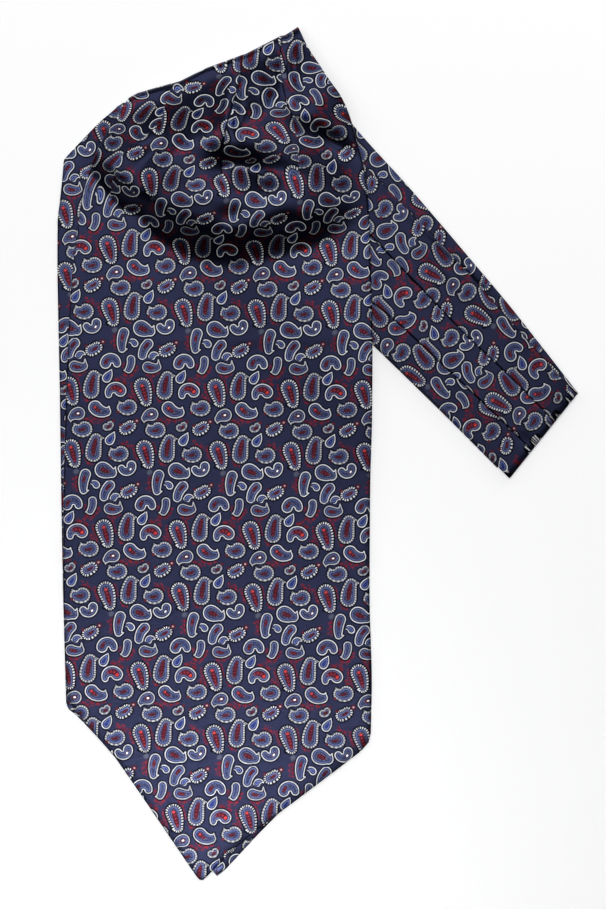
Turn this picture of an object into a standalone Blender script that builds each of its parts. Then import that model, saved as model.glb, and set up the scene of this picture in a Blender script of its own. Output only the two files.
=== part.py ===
"""A pleated silk cravat, folded in half and laid flat on a table.

A cravat is one long lined strip: a wide pointed blade at each end and a pleated neckband between
them. Folded at the middle of the neckband, its halves lie on each other. Both blades are then
turned back over the doubled band along a slanting fold, so that from the table up there are the
lower half of the band, its upper half, the back blade and the front blade.

Every piece is a closed wall of cloth. Its plan comes from a table with one row for each station
along the piece and one column for each lengthwise line of the cloth: the two edges and the folded
edges of the pleats between them. Its height comes from what it lies on.

+X is across the blades, +Y points from their tips to the fold and +Z is up. The table is at
z = 0. The tables of this file are in millimetres, and the meshes are built in metres.
"""

import math
from collections import namedtuple

import bmesh
import bpy

MM = 0.001

# ---------------------------------------------------------------- driving sizes, in millimetres
GAP = 0.3            # between cloth that lies on cloth
BLADE_WALL = 1.2     # a blade: two layers of silk, seamed and turned
BAND_WALL = 1.2      # the neckband's upper half, without the rise of its pleats
LOWER_WALL = 1.6     # the neckband's lower half, with its own pleats pressed flat inside
PLEAT_RISE = 0.9     # the most that a pleat of the band stands above the cloth beside it
RETURN = 4.0         # how far a rolled edge runs on under the piece
RISER = 0.4          # width, seen from above, of the step at a pleat's folded edge
TURNED_WIDTH = 0.9   # a turned edge is rounded over this width,
TURNED_SHARE = 0.45  # down to this share of the wall
FLAT_ANGLE = 0.05    # degrees: facets closer than this to one plane are joined

BAND_BASE = LOWER_WALL + GAP
STACK = BAND_BASE + BAND_WALL + PLEAT_RISE + GAP     # underside of a blade over the band
FRONT_ROLL = (STACK + BLADE_WALL + GAP) / 2          # radius of the wall's middle at the fold
BACK_ROLL = (STACK - BAND_BASE) / 2
BACK_INSET = FRONT_ROLL - BACK_ROLL                  # the two rolls turn about one axis

# A blade runs from the fold to its point. Its lengthwise lines hold their x at each station.
Fold = namedtuple("Fold", "x y")
FOLD_EDGE = (        # the slanting fold at the top, from left to right
    Fold(-96.0, 177.4),
    Fold(-90.0, 180.6),
    Fold(-81.5, 183.1),
    Fold(-69.0, 186.5),
    Fold(-56.0, 193.0),
    Fold(-36.0, 200.2),
    Fold(-18.6, 209.1),
    Fold(-16.6, 209.4),
    Fold(-10.2, 213.5),
)

Front = namedtuple("Front", "station left gather long_pleat short_pleat right")
FRONT_BLADE = (      # below 0 is the fold, 0 is where it lies flat, 1 the point
    Front(-0.012, -94.6, -73.0, -37.0, -17.9, -9.8),
    Front(0.000, -96.6, -73.6, -37.6, -18.4, -8.3),
    Front(0.020, -100.6, -76.0, -39.0, -18.8, -4.9),
    Front(0.045, -105.2, -78.4, -41.4, -18.2, 0.7),
    Front(0.065, -108.4, -79.7, -43.3, -16.9, 5.2),
    Front(0.090, -111.8, -81.4, -46.0, -13.9, 11.4),
    Front(0.115, -114.4, -83.2, -47.5, -11.8, 15.4),
    Front(0.160, -117.9, -84.0, -48.3, -9.8, 20.0),
    Front(0.220, -120.6, -84.0, -48.5, -9.0, 24.6),
    Front(0.320, -123.6, -84.0, -48.5, -9.0, 26.2),
    Front(0.450, -125.4, -84.0, -48.5, -9.0, 27.2),
    Front(0.550, -126.4, -84.0, -48.5, -9.0, 27.0),
    Front(0.650, -127.1, -84.0, -48.5, -9.0, 26.1),
    Front(0.800, -127.3, -84.0, -48.5, -9.0, 25.8),
    Front(0.930, -126.4, -84.0, -48.5, -9.0, 26.9),
    Front(1.000, -125.5, -84.0, -48.5, -9.0, 26.4),
)
Point = namedtuple("Point", "x y")
FRONT_POINT = (      # the lower outline, from the left corner by the tip to the right corner
    Point(-125.5, -121.5),
    Point(-123.6, -125.0),
    Point(-109.0, -142.6),
    Point(-101.6, -151.0),
    Point(-85.1, -175.0),
    Point(-61.2, -210.2),
    Point(-58.5, -213.4),
    Point(-56.0, -211.4),
    Point(-42.0, -197.3),
    Point(-29.0, -186.4),
    Point(0.0, -164.6),
    Point(21.4, -148.3),
    Point(25.5, -143.6),
    Point(26.4, -139.0),
)

Back = namedtuple("Back", "station left middle right")
BACK_BLADE = (
    Back(-0.012, -97.6, -50.3, -11.5),
    Back(0.000, -100.0, -50.3, -10.0),
    Back(0.026, -108.9, -50.3, -4.5),
    Back(0.056, -117.8, -50.3, 2.0),
    Back(0.083, -125.4, -50.3, 8.0),
    Back(0.090, -127.0, -50.3, 10.0),
    Back(0.115, -127.7, -50.3, 14.0),
    Back(0.160, -129.1, -50.3, 18.5),
    Back(0.195, -130.2, -50.3, 21.0),
    Back(0.260, -130.3, -50.3, 22.6),
    Back(0.350, -129.9, -50.3, 23.4),
    Back(0.460, -129.2, -50.3, 24.0),
    Back(0.650, -128.4, -50.3, 24.0),
    Back(0.800, -127.6, -50.3, 24.0),
    Back(1.000, -126.0, -50.3, 23.8),
)
BACK_POINT = (
    Point(-126.0, -123.5),
    Point(-124.9, -127.2),
    Point(-120.5, -130.6),
    Point(-109.5, -142.2),
    Point(-52.5, -208.6),
    Point(-50.3, -210.9),
    Point(-47.5, -208.8),
    Point(-29.0, -188.9),
    Point(-19.0, -178.8),
    Point(18.0, -147.0),
    Point(22.8, -142.6),
    Point(23.8, -139.0),
)

# The neckband runs at 45 degrees, down to the right. "along" is measured that way from the
# blades' origin, "across" at right angles to it from the band's lower edge.
BAND_EDGE = 82.5 / math.sqrt(2)      # distance of the lower edge's line from the origin
Band = namedtuple("Band", "station low wide_pleat middle_pleat narrow_pleat high")
NECKBAND = (         # across, at stations from the blades' fold to the band's own fold
    Band(0.00, 0.8, 21.0, 41.0, 62.0, 81.0),
    Band(0.25, 0.2, 18.0, 39.0, 60.5, 70.0),
    Band(0.40, 0.1, 16.5, 38.0, 59.8, 68.4),
    Band(0.52, 0.1, 13.6, 37.2, 59.5, 66.5),
    Band(0.64, 0.2, 16.4, 36.6, 58.6, 64.3),
    Band(0.75, 0.6, 17.3, 36.0, 57.3, 62.2),
    Band(0.88, 0.9, 18.3, 37.0, 55.6, 58.8),
    Band(1.00, 0.8, 18.8, 36.8, 53.8, 55.4),
)
BAND_START_FROM, BAND_START_TO = -220.0, -100.0     # along, between which the band starts,
START_MISS = 1e-6                                   # found to this closeness
BAND_END = 76.4      # along, at the lower edge, of the band's own fold
END_SLANT = -0.11    # and how much further along per millimetre across
LOWER_SHIFT = 0.6    # the lower half shows this far outside the upper half's lower edge

# A pleat is a step in the wall's top along one lengthwise line: the cloth on one side lies on
# the other. It stands at full rise from the piece's start, and fades out between two stations.
Pleat = namedtuple("Pleat", "line upper rise fades_from fades_to")
FRONT_PLEATS = (
    Pleat("gather", "right", 0.6, 0.075, 0.130),
    Pleat("long_pleat", "left", 1.3, 0.110, 0.155),
    Pleat("short_pleat", "left", 1.3, 0.060, 0.105),
)
BAND_PLEATS = (
    Pleat("wide_pleat", "right", 1.0, 0.95, 1.05),
    Pleat("middle_pleat", "right", 0.8, 0.95, 1.05),
    Pleat("narrow_pleat", "left", 0.9, 0.95, 1.05),
)

# Soft hollows pressed into the gathers under the fold: centre, half length, half width, the
# angle of the long axis from +X, and depth.
Hollow = namedtuple("Hollow", "x y length width angle depth")
HOLLOWS = (
    Hollow(-36.0, 142.0, 19.0, 8.5, -10.0, 6.0),      # where the long pleat opens
    Hollow(-44.5, 145.5, 6.0, 7.0, 70.0, 1.8),        # and is deepest
    Hollow(-43.0, 118.5, 8.0, 5.0, 0.0, 1.8),         # two dents in the top of the slope
    Hollow(-17.0, 116.0, 9.0, 5.0, 8.0, 1.8),
    Hollow(-11.5, 179.0, 8.0, 6.0, -50.0, 3.4),       # where the short pleat opens
    Hollow(3.0, 157.0, 18.0, 5.0, -31.0, 4.0),        # the drag line to the right edge
    Hollow(-84.0, 148.0, 13.0, 6.0, 42.0, 3.0),       # the drag line to the left edge
    Hollow(-88.0, 120.5, 8.0, 6.0, 35.0, 2.6),        # the end of the slope at the left
)
HOLLOW_FALL = 1.2    # how fast a hollow fades out from its middle
HOLLOW_FROM, HOLLOW_TO = 4.0, 16.0       # the hollows open between these distances from the fold
GATHER_RISE = 9.5    # how far the gathered cloth stands over the stack
GATHER_FROM, GATHER_TO = 4.0, 38.0       # it rises between these distances from the fold,
LEFT_FROM, LEFT_TO = -136.0, -84.0       # between these x at the left
RIGHT_FROM, RIGHT_TO = 30.0, -20.0       # and between these at the right
CRESCENT_X, CRESCENT_Y = -46.0, 106.0    # lowest place of the curved slope below the gathers
CRESCENT_HALF = 58.0
LIFT_LEFT, LIFT_RIGHT = 30.0, 12.0       # how far its ends lie higher, this far from it
SLOPE_MIDDLE, SLOPE_END = 13.5, 9.0      # half width of that slope, at its middle and its ends
DRAPE_FROM = 3.5                         # the blades leave the band this far outside its edge
DRAPE_LEFT, DRAPE_RIGHT = 36.0, 70.0     # how far they span from it down to the table,
DRAPE_LEFT_ALONG, DRAPE_RIGHT_ALONG = -150.0, -40.0     # at these places along the band

# How finely each piece is divided: cells across each panel, and runs of stations along it.
BLADE_ROLL_STEPS, BAND_ROLL_STEPS = 8, 6
ROLL_FADE_FROM, ROLL_FADE_TO = 0.15, 0.45    # a pleat fades out between these shares of a blade's
BAND_FADE_FROM, BAND_FADE_TO = 0.1, 0.5      # roll, and between these of the band's roll
FRONT_CELLS, BACK_CELLS = (6, 7, 7, 5), (12, 12)
UPPER_CELLS, LOWER_CELLS = (2, 3, 3, 2), (1, 1, 1, 1)
Run = namedtuple("Run", "start end count")
FRONT_RUNS = (Run(0.0, 0.32, 28), Run(0.32, 0.62, 8), Run(0.62, 1.0, 4))
BACK_RUNS = (Run(0.0, 0.32, 24), Run(0.32, 0.62, 8), Run(0.62, 1.0, 4))
UPPER_RUNS = (Run(0.0, 0.5, 6), Run(0.5, 1.0, 14))
LOWER_RUNS = (Run(0.0, 1.0, 12),)

NAVY = (0.030, 0.035, 0.075, 1.0)
INK = (0.018, 0.021, 0.048, 1.0)


# ---------------------------------------------------------------- curves through table rows
def curve(stations, values):
    """Return a smooth function through the values that never overshoots a row."""
    spans = [b - a for a, b in zip(stations, stations[1:])]
    slopes = [(b - a) / span for a, b, span in zip(values, values[1:], spans)]
    tangents = [slopes[0]]
    for before, after in zip(slopes, slopes[1:]):
        same_way = before * after > 0
        tangents.append(2 * before * after / (before + after) if same_way else 0.0)
    tangents.append(slopes[-1])

    def at(station):
        station = min(max(station, stations[0]), stations[-1])
        i = max(k for k in range(len(spans)) if k == 0 or stations[k] <= station)
        t = (station - stations[i]) / spans[i]
        start = (1 + 2 * t) * (1 - t) ** 2 * values[i] + t * (1 - t) ** 2 * spans[i] * tangents[i]
        end = t * t * (3 - 2 * t) * values[i + 1] + t * t * (t - 1) * spans[i] * tangents[i + 1]
        return start + end

    return at


def outline(points):
    """Return y as a function of x along straight runs between points."""
    def at(x):
        x = min(max(x, points[0].x), points[-1].x)
        for a, b in zip(points, points[1:]):
            if x <= b.x:
                return a.y + (b.y - a.y) * (x - a.x) / (b.x - a.x)
        return points[-1].y

    return at


def ease(value, start, end):
    """Rise smoothly from 0 at start to 1 at end."""
    t = min(max((value - start) / (end - start), 0.0), 1.0)
    return t * t * (3 - 2 * t)


def mix(a, b, share):
    return a + (b - a) * share


# ---------------------------------------------------------------- what the blades lie on
def drape(x, y):
    """Height of the blades' underside: over the doubled band, and sloping down beside it."""
    outside = BAND_EDGE - (x + y) / math.sqrt(2)
    along = (x - y) / math.sqrt(2)
    reach = mix(DRAPE_LEFT, DRAPE_RIGHT, ease(along, DRAPE_LEFT_ALONG, DRAPE_RIGHT_ALONG))
    return STACK * (1 - ease(outside, DRAPE_FROM, reach))


def gathers(x, y):
    """Extra height of the gathered cloth between the fold and the curved slope under it."""
    offset = (x - CRESCENT_X) / CRESCENT_HALF
    middle = CRESCENT_Y + (LIFT_LEFT if offset < 0 else LIFT_RIGHT) * offset * offset
    half = mix(SLOPE_MIDDLE, SLOPE_END, min(abs(offset), 1.0))
    below_fold = outline(FOLD_EDGE)(x) - y
    rise = GATHER_RISE * ease(y, middle - half, middle + half) * ease(below_fold, GATHER_FROM, GATHER_TO)
    rise *= ease(x, LEFT_FROM, LEFT_TO) * ease(-x, -RIGHT_FROM, -RIGHT_TO)
    for hollow in HOLLOWS:
        turn = math.radians(hollow.angle)
        dx, dy = x - hollow.x, y - hollow.y
        u = (dx * math.cos(turn) + dy * math.sin(turn)) / hollow.length
        v = (dy * math.cos(turn) - dx * math.sin(turn)) / hollow.width
        depth = hollow.depth * math.exp(-HOLLOW_FALL * (u * u + v * v))
        rise -= depth * ease(below_fold, HOLLOW_FROM, HOLLOW_TO)
    return max(rise, 0.0)


def under_front_blade(x, y):
    return drape(x, y) + BLADE_WALL + GAP + gathers(x, y)


# ---------------------------------------------------------------- walls of cloth
class Sheet:
    """A strip of cloth laid out between lengthwise lines, and the closed wall made from it."""

    def __init__(self, table, pleats, cells):
        self.lines = table[0]._fields[1:]
        self.stations = [row.station for row in table]
        self.line_at = [curve(self.stations, [getattr(row, line) for row in table])
                        for line in self.lines]
        self.pleats = {self.lines.index(pleat.line): pleat for pleat in pleats}
        self.columns = self.lay_columns(cells)

    def lay_columns(self, cells):
        """Give each column its panel, its share of the way across it and its shift aside."""
        columns = []
        for panel, count in enumerate(cells):
            first = 0 if panel == 0 or panel in self.pleats else 1
            for step in range(first, count + 1):
                columns.append((panel, step / count, self.riser_shift(panel, step, count)))
        columns.insert(1, (0, 0.0, TURNED_WIDTH))
        columns.insert(-1, (len(cells) - 1, 1.0, -TURNED_WIDTH))
        return columns

    def riser_shift(self, panel, step, count):
        """Set the lower side of a pleat's step a little aside, so that the step has a face."""
        if step == 0 and panel in self.pleats and self.pleats[panel].upper == "left":
            return RISER
        if step == count and panel + 1 in self.pleats and self.pleats[panel + 1].upper == "right":
            return -RISER
        return 0.0

    def across(self, column, station):
        panel, share, shift = column
        return mix(self.line_at[panel](station), self.line_at[panel + 1](station), share) + shift

    def rise(self, column, station):
        """Height of a pleat's fold above the plain wall, falling off across its panel."""
        panel, share, _ = column
        height = 0.0
        if panel in self.pleats and self.pleats[panel].upper == "right":
            height += self.pleat_height(panel, station) * (1 - share) ** 1.5
        if panel + 1 in self.pleats and self.pleats[panel + 1].upper == "left":
            height += self.pleat_height(panel + 1, station) * share ** 1.5
        return height

    def pleat_height(self, line, station):
        pleat = self.pleats[line]
        return pleat.rise * (1 - ease(station, pleat.fades_from, pleat.fades_to))

    def edge_share(self, column):
        """Share of the wall's thickness at a column: a turned side edge is thinner."""
        return TURNED_SHARE if column in (self.columns[0], self.columns[-1]) else 1.0


def wall_points(centre, normal, thickness, share, rise):
    """Return the outer and the inner point of a wall at one point of its middle surface."""
    half = thickness * share / 2
    outer = tuple(c + n * (half + rise) for c, n in zip(centre, normal))
    inner = tuple(c - n * half for c, n in zip(centre, normal))
    return outer, inner


def blade_rows(sheet, top, bottom, inset, radius, low, under, stations):
    """Rows of wall points of a blade, from the return under its fold to its point."""
    roll = [math.pi * step / BLADE_ROLL_STEPS for step in range(BLADE_ROLL_STEPS, 0, -1)]
    hem = TURNED_WIDTH / (top(0.0) - bottom(0.0))
    crest = sheet.stations[0]
    steps = ["return", *roll, *stations[:-1], 1 - hem, 1.0]
    rows = []
    for place, step in enumerate(steps):
        row = []
        for column in sheet.columns:
            x_crest = sheet.across(column, crest)
            start = top(x_crest) - inset - radius - BLADE_WALL / 2
            share = sheet.edge_share(column) if place < len(steps) - 1 else TURNED_SHARE
            if step == "return":
                centre, normal, rise = (x_crest, start - RETURN, low), (0, 0, -1), 0.0
            elif place <= len(roll):
                x = sheet.across(column, crest * (math.sin(step) if step < math.pi / 2 else 1.0))
                centre = (x, start + radius * math.sin(step), low + radius * (1 + math.cos(step)))
                normal = (0, math.sin(step), math.cos(step))
                fade = ease(step, math.pi * ROLL_FADE_FROM, math.pi * ROLL_FADE_TO)
                rise = sheet.rise(column, 0.0) * (1 - fade)
            else:
                x = sheet.across(column, step)
                y = mix(start, bottom(sheet.across(column, 1.0)), step)
                centre, normal = (x, y, under(x, y) + BLADE_WALL / 2), (0, 0, 1)
                rise = sheet.rise(column, step)
            row.append(wall_points(centre, normal, BLADE_WALL, share, rise))
        rows.append(row)
    return rows


def band_place(along, across):
    """Turn a place on the neckband into x and y."""
    across += BAND_EDGE
    return (across + along) / math.sqrt(2), (across - along) / math.sqrt(2)


def band_start(across):
    """Along, where the band meets the ends of the blades' rolled edges under the fold."""
    roll = FRONT_ROLL + BLADE_WALL / 2 + RETURN + 4 * GAP
    outer, inner = BAND_START_FROM, BAND_START_TO
    while inner - outer > START_MISS:
        middle = (outer + inner) / 2
        x, y = band_place(middle, across)
        if y > outline(FOLD_EDGE)(x) - roll:
            outer = middle
        else:
            inner = middle
    return inner


def band_end(across, wall, rolled):
    """Along, where the band's flat part ends: before its rolled fold, or inside that roll."""
    end = BAND_END + END_SLANT * across - wall / 2
    if rolled:
        return end - BAND_BASE / 2
    return end - BAND_BASE / 2 - wall - RETURN - 3 * GAP


def band_rows(sheet, base, wall, stations, rolled, shift):
    """Rows of wall points of one half of the neckband, from the blades to its far end."""
    rows = []
    radius = base / 2
    roll = [math.pi * step / BAND_ROLL_STEPS for step in range(1, BAND_ROLL_STEPS + 1)]
    steps = [*stations, *roll, "return"] if rolled else stations
    for place, step in enumerate(steps):
        row = []
        for column in sheet.columns:
            across_end = sheet.across(column, 1.0)
            end = band_end(across_end, wall, rolled)
            if place < len(stations):
                across = sheet.across(column, step) - shift
                x, y = band_place(mix(band_start(across), end, step), across)
                centre, normal = (x, y, base + wall / 2), (0, 0, 1)
                rise = sheet.rise(column, step)
            else:
                angle = math.pi if step == "return" else step
                reach = -RETURN if step == "return" else radius * math.sin(angle)
                x, y = band_place(end + reach, across_end)
                centre = (x, y, wall / 2 + radius * (1 + math.cos(angle)))
                out = math.sin(angle) / math.sqrt(2)
                normal = (out, -out, math.cos(angle))
                fade = ease(angle, math.pi * BAND_FADE_FROM, math.pi * BAND_FADE_TO)
                rise = sheet.rise(column, 1.0) * (1 - fade)
            row.append(wall_points(centre, normal, wall, sheet.edge_share(column), rise))
        rows.append(row)
    return rows


def wall_mesh(name, rows):
    """Close rows of outer and inner points into one body."""
    shape = bmesh.new()
    outer = [[shape.verts.new([MM * c for c in point[0]]) for point in row] for row in rows]
    inner = [[shape.verts.new([MM * c for c in point[1]]) for point in row] for row in rows]
    last_row, last_column = len(rows) - 1, len(rows[0]) - 1
    for r in range(last_row):
        for c in range(last_column):
            shape.faces.new((outer[r][c], outer[r][c + 1], outer[r + 1][c + 1], outer[r + 1][c]))
            shape.faces.new((inner[r][c], inner[r + 1][c], inner[r + 1][c + 1], inner[r][c + 1]))
    for r in range(last_row):
        shape.faces.new((outer[r][0], outer[r + 1][0], inner[r + 1][0], inner[r][0]))
        shape.faces.new((outer[r + 1][-1], outer[r][-1], inner[r][-1], inner[r + 1][-1]))
    for c in range(last_column):
        shape.faces.new((outer[0][c + 1], outer[0][c], inner[0][c], inner[0][c + 1]))
        shape.faces.new((outer[-1][c], outer[-1][c + 1], inner[-1][c + 1], inner[-1][c]))
    bmesh.ops.recalc_face_normals(shape, faces=shape.faces)
    bmesh.ops.dissolve_limit(shape, angle_limit=math.radians(FLAT_ANGLE), verts=shape.verts,
                             edges=shape.edges, use_dissolve_boundaries=False)
    mesh = bpy.data.meshes.new(name)
    shape.to_mesh(mesh)
    shape.free()
    return mesh


def silk(name, colour):
    material = bpy.data.materials.new(name)
    material.use_nodes = True
    shader = material.node_tree.nodes["Principled BSDF"]
    shader.inputs["Base Color"].default_value = colour
    shader.inputs["Roughness"].default_value = 0.42
    shader.inputs["Metallic"].default_value = 0.0
    return material


def add_piece(name, rows, colour):
    piece = bpy.data.objects.new(name, wall_mesh(name, rows))
    piece.data.materials.append(silk(name + "_silk", colour))
    bpy.context.scene.collection.objects.link(piece)
    return piece


# ---------------------------------------------------------------- the four pieces
def stations_of(runs):
    """Return the stations of some runs, each without its end, and the last run's end."""
    stations = []
    for run in runs:
        stations += [mix(run.start, run.end, step / run.count) for step in range(run.count)]
    return stations + [runs[-1].end]


def build_front_blade():
    sheet = Sheet(FRONT_BLADE, FRONT_PLEATS, FRONT_CELLS)
    rows = blade_rows(sheet, outline(FOLD_EDGE), outline(FRONT_POINT), 0.0, FRONT_ROLL,
                      BLADE_WALL / 2, under_front_blade, stations_of(FRONT_RUNS))
    return add_piece("front_blade", rows, NAVY)


def build_back_blade():
    sheet = Sheet(BACK_BLADE, (), BACK_CELLS)
    rows = blade_rows(sheet, outline(FOLD_EDGE), outline(BACK_POINT), BACK_INSET, BACK_ROLL,
                      BAND_BASE + BLADE_WALL / 2, drape, stations_of(BACK_RUNS))
    return add_piece("back_blade", rows, NAVY)


def build_neckband_upper():
    sheet = Sheet(NECKBAND, BAND_PLEATS, UPPER_CELLS)
    rows = band_rows(sheet, BAND_BASE, BAND_WALL, stations_of(UPPER_RUNS), True, 0.0)
    return add_piece("neckband_upper", rows, NAVY)


def build_neckband_lower():
    sheet = Sheet(NECKBAND, (), LOWER_CELLS)
    rows = band_rows(sheet, 0.0, LOWER_WALL, stations_of(LOWER_RUNS), False, LOWER_SHIFT)
    return add_piece("neckband_lower", rows, INK)


for old in list(bpy.data.objects):
    bpy.data.objects.remove(old)
build_front_blade()
build_back_blade()
build_neckband_upper()
build_neckband_lower()
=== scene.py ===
# %% [markdown]
# # A silk cravat, folded in half and laid flat
#
# A day cravat is one long lined strip of silk: a wide pointed blade at each end and a pleated
# neckband between them. Here it is folded at the middle of the neckband, so that its halves lie on
# each other, and both blades are turned back over the doubled band. From the table up there are the
# band's lower half, its upper half, the back blade and the front blade.
#
# The solids of the part come in first. Each is a closed wall of cloth with the true outline and the
# largest folds, and each is then replaced by a finer shell on the same form. The file's tables are
# in millimetres, and the meshes are built in metres.

# %% Load the part's solids, and keep their box
import math
from collections import namedtuple

import bpy
import numpy as np
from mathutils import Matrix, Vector


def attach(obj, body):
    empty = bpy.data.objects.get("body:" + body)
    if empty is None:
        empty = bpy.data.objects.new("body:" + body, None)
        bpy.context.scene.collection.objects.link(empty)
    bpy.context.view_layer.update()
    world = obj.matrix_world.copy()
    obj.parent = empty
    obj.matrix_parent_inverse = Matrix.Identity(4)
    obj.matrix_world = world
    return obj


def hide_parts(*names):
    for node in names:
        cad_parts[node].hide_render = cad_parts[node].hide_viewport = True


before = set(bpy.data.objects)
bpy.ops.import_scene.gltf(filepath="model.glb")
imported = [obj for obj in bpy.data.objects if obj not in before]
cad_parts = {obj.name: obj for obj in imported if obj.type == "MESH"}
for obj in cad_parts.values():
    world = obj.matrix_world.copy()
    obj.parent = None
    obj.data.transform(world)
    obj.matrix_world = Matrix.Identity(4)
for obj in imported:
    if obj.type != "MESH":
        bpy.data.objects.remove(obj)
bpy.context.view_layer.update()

MM = 0.001
BODY = "root"

# %% [markdown]
# ## The camera
#
# The cravat lies on a table and is seen from straight above. A real lens close to the table would
# show the raised folds a little larger than the flat cloth. A long lens, far up, keeps every outline
# where its plan says, and it is still an ordinary camera, which can be moved round the object.

# %% A long lens over the table
PICTURE_HEIGHT = 454.5     # what the upright picture takes in at the table, from its foot to its top
PICTURE_MIDDLE_X = -7.5
LENS, SENSOR = 200.0, 36.0
FAR_CLIP = 20.0            # in metres


def add_camera():
    """Make the camera, looking straight down with +Y towards the top of the picture."""
    camera = bpy.data.objects.new("camera", bpy.data.cameras.new("camera"))
    camera.data.lens = LENS
    camera.data.sensor_width = SENSOR
    camera.data.clip_end = FAR_CLIP
    camera.location = (MM * PICTURE_MIDDLE_X, 0.0, MM * PICTURE_HEIGHT * LENS / SENSOR)
    bpy.context.scene.collection.objects.link(camera)
    bpy.context.scene.camera = camera
    return camera


camera = add_camera()
print("camera height:", round(camera.location.z, 3), "m")

# %% [markdown]
# ## The cut, as tables
#
# The plan of each piece is a table with one row for each station along the piece, and one column
# for each lengthwise line of the cloth: the two side edges, and the folded edges of the pleats
# between them. A smooth curve runs through each column, and it never overshoots a row, which keeps
# a straight edge straight. An outline alone could be drawn and filled, but nothing in it would say
# which way the cloth runs. The solids follow the same tables, so the shells fit them. Only the gather
# line differs between stations 0.065 and 0.32, where its step is already low.

# %% Driving sizes
GAP = 0.3            # between cloth that lies on cloth
BLADE_WALL = 1.2     # a blade: two layers of silk, seamed and turned
BAND_WALL = 1.2      # the neckband's upper half, without the rise of its pleats
LOWER_WALL = 1.6     # the neckband's lower half, with its own pleats pressed flat inside
PLEAT_RISE = 0.9     # the most that a pleat of the band stands above the cloth beside it
RETURN = 4.0         # how far a rolled edge runs on under the piece

BAND_BASE = LOWER_WALL + GAP
STACK = BAND_BASE + BAND_WALL + PLEAT_RISE + GAP     # underside of a blade over the band
FRONT_ROLL = (STACK + BLADE_WALL + GAP) / 2          # radius of the wall's middle at the fold
BACK_ROLL = (STACK - BAND_BASE) / 2
BACK_INSET = FRONT_ROLL - BACK_ROLL                  # the two rolls turn about one axis
print("height of the stack under the blades:", round(STACK, 2), "mm")

# %% The front blade's plan
Place = namedtuple("Place", "x y")
FOLD_EDGE = (        # the slanting fold at the top, from left to right
    Place(-96.0, 177.4),
    Place(-90.0, 180.6),
    Place(-81.5, 183.1),
    Place(-69.0, 186.5),
    Place(-56.0, 193.0),
    Place(-36.0, 200.2),
    Place(-18.6, 209.1),
    Place(-16.6, 209.4),
    Place(-10.2, 213.5),
)
Front = namedtuple("Front", "station left gather long_pleat short_pleat right")
FRONT_BLADE = (      # below 0 is the fold, 0 is where it lies flat, 1 the point
    Front(-0.012, -94.6, -73.0, -37.0, -17.9, -9.8),
    Front(0.000, -96.6, -73.6, -37.6, -18.4, -8.3),
    Front(0.020, -100.6, -76.0, -39.0, -18.8, -4.9),
    Front(0.045, -105.2, -78.4, -41.4, -18.2, 0.7),
    Front(0.065, -108.4, -86.0, -43.3, -16.9, 5.2),
    Front(0.090, -111.8, -97.0, -46.0, -13.9, 11.4),
    Front(0.115, -114.4, -101.5, -47.5, -11.8, 15.4),
    Front(0.160, -117.9, -104.0, -48.3, -9.8, 20.0),
    Front(0.220, -120.6, -103.0, -48.5, -9.0, 24.6),
    Front(0.320, -123.6, -96.0, -48.5, -9.0, 26.2),
    Front(0.450, -125.4, -84.0, -48.5, -9.0, 27.2),
    Front(0.550, -126.4, -84.0, -48.5, -9.0, 27.0),
    Front(0.650, -127.1, -84.0, -48.5, -9.0, 26.1),
    Front(0.800, -127.3, -84.0, -48.5, -9.0, 25.8),
    Front(0.930, -126.4, -84.0, -48.5, -9.0, 26.9),
    Front(1.000, -125.5, -84.0, -48.5, -9.0, 26.4),
)
FRONT_POINT = (      # the lower outline, from the left corner by the tip to the right corner
    Place(-125.5, -121.5),
    Place(-123.6, -125.0),
    Place(-109.0, -142.6),
    Place(-101.6, -151.0),
    Place(-85.1, -175.0),
    Place(-61.2, -210.2),
    Place(-58.5, -213.4),
    Place(-56.0, -211.4),
    Place(-42.0, -197.3),
    Place(-29.0, -186.4),
    Place(0.0, -164.6),
    Place(21.4, -148.3),
    Place(25.5, -143.6),
    Place(26.4, -139.0),
)
print("front blade:", len(FRONT_BLADE), "stations, its point at", FRONT_POINT[6])

# %% The back blade's plan
Back = namedtuple("Back", "station left middle right")
BACK_BLADE = (
    Back(-0.012, -97.6, -50.3, -11.5),
    Back(0.000, -100.0, -50.3, -10.0),
    Back(0.026, -108.9, -50.3, -4.5),
    Back(0.056, -117.8, -50.3, 2.0),
    Back(0.083, -125.4, -50.3, 8.0),
    Back(0.090, -127.0, -50.3, 10.0),
    Back(0.115, -127.7, -50.3, 14.0),
    Back(0.160, -129.1, -50.3, 18.5),
    Back(0.195, -130.2, -50.3, 21.0),
    Back(0.260, -130.3, -50.3, 22.6),
    Back(0.350, -129.9, -50.3, 23.4),
    Back(0.460, -129.2, -50.3, 24.0),
    Back(0.650, -128.4, -50.3, 24.0),
    Back(0.800, -127.6, -50.3, 24.0),
    Back(1.000, -126.0, -50.3, 23.8),
)
BACK_POINT = (
    Place(-126.0, -123.5),
    Place(-124.9, -127.2),
    Place(-120.5, -130.6),
    Place(-109.5, -142.2),
    Place(-52.5, -208.6),
    Place(-50.3, -210.9),
    Place(-47.5, -208.8),
    Place(-29.0, -188.9),
    Place(-19.0, -178.8),
    Place(18.0, -147.0),
    Place(22.8, -142.6),
    Place(23.8, -139.0),
)
print("back blade:", len(BACK_BLADE), "stations, its point at", BACK_POINT[5])

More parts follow.
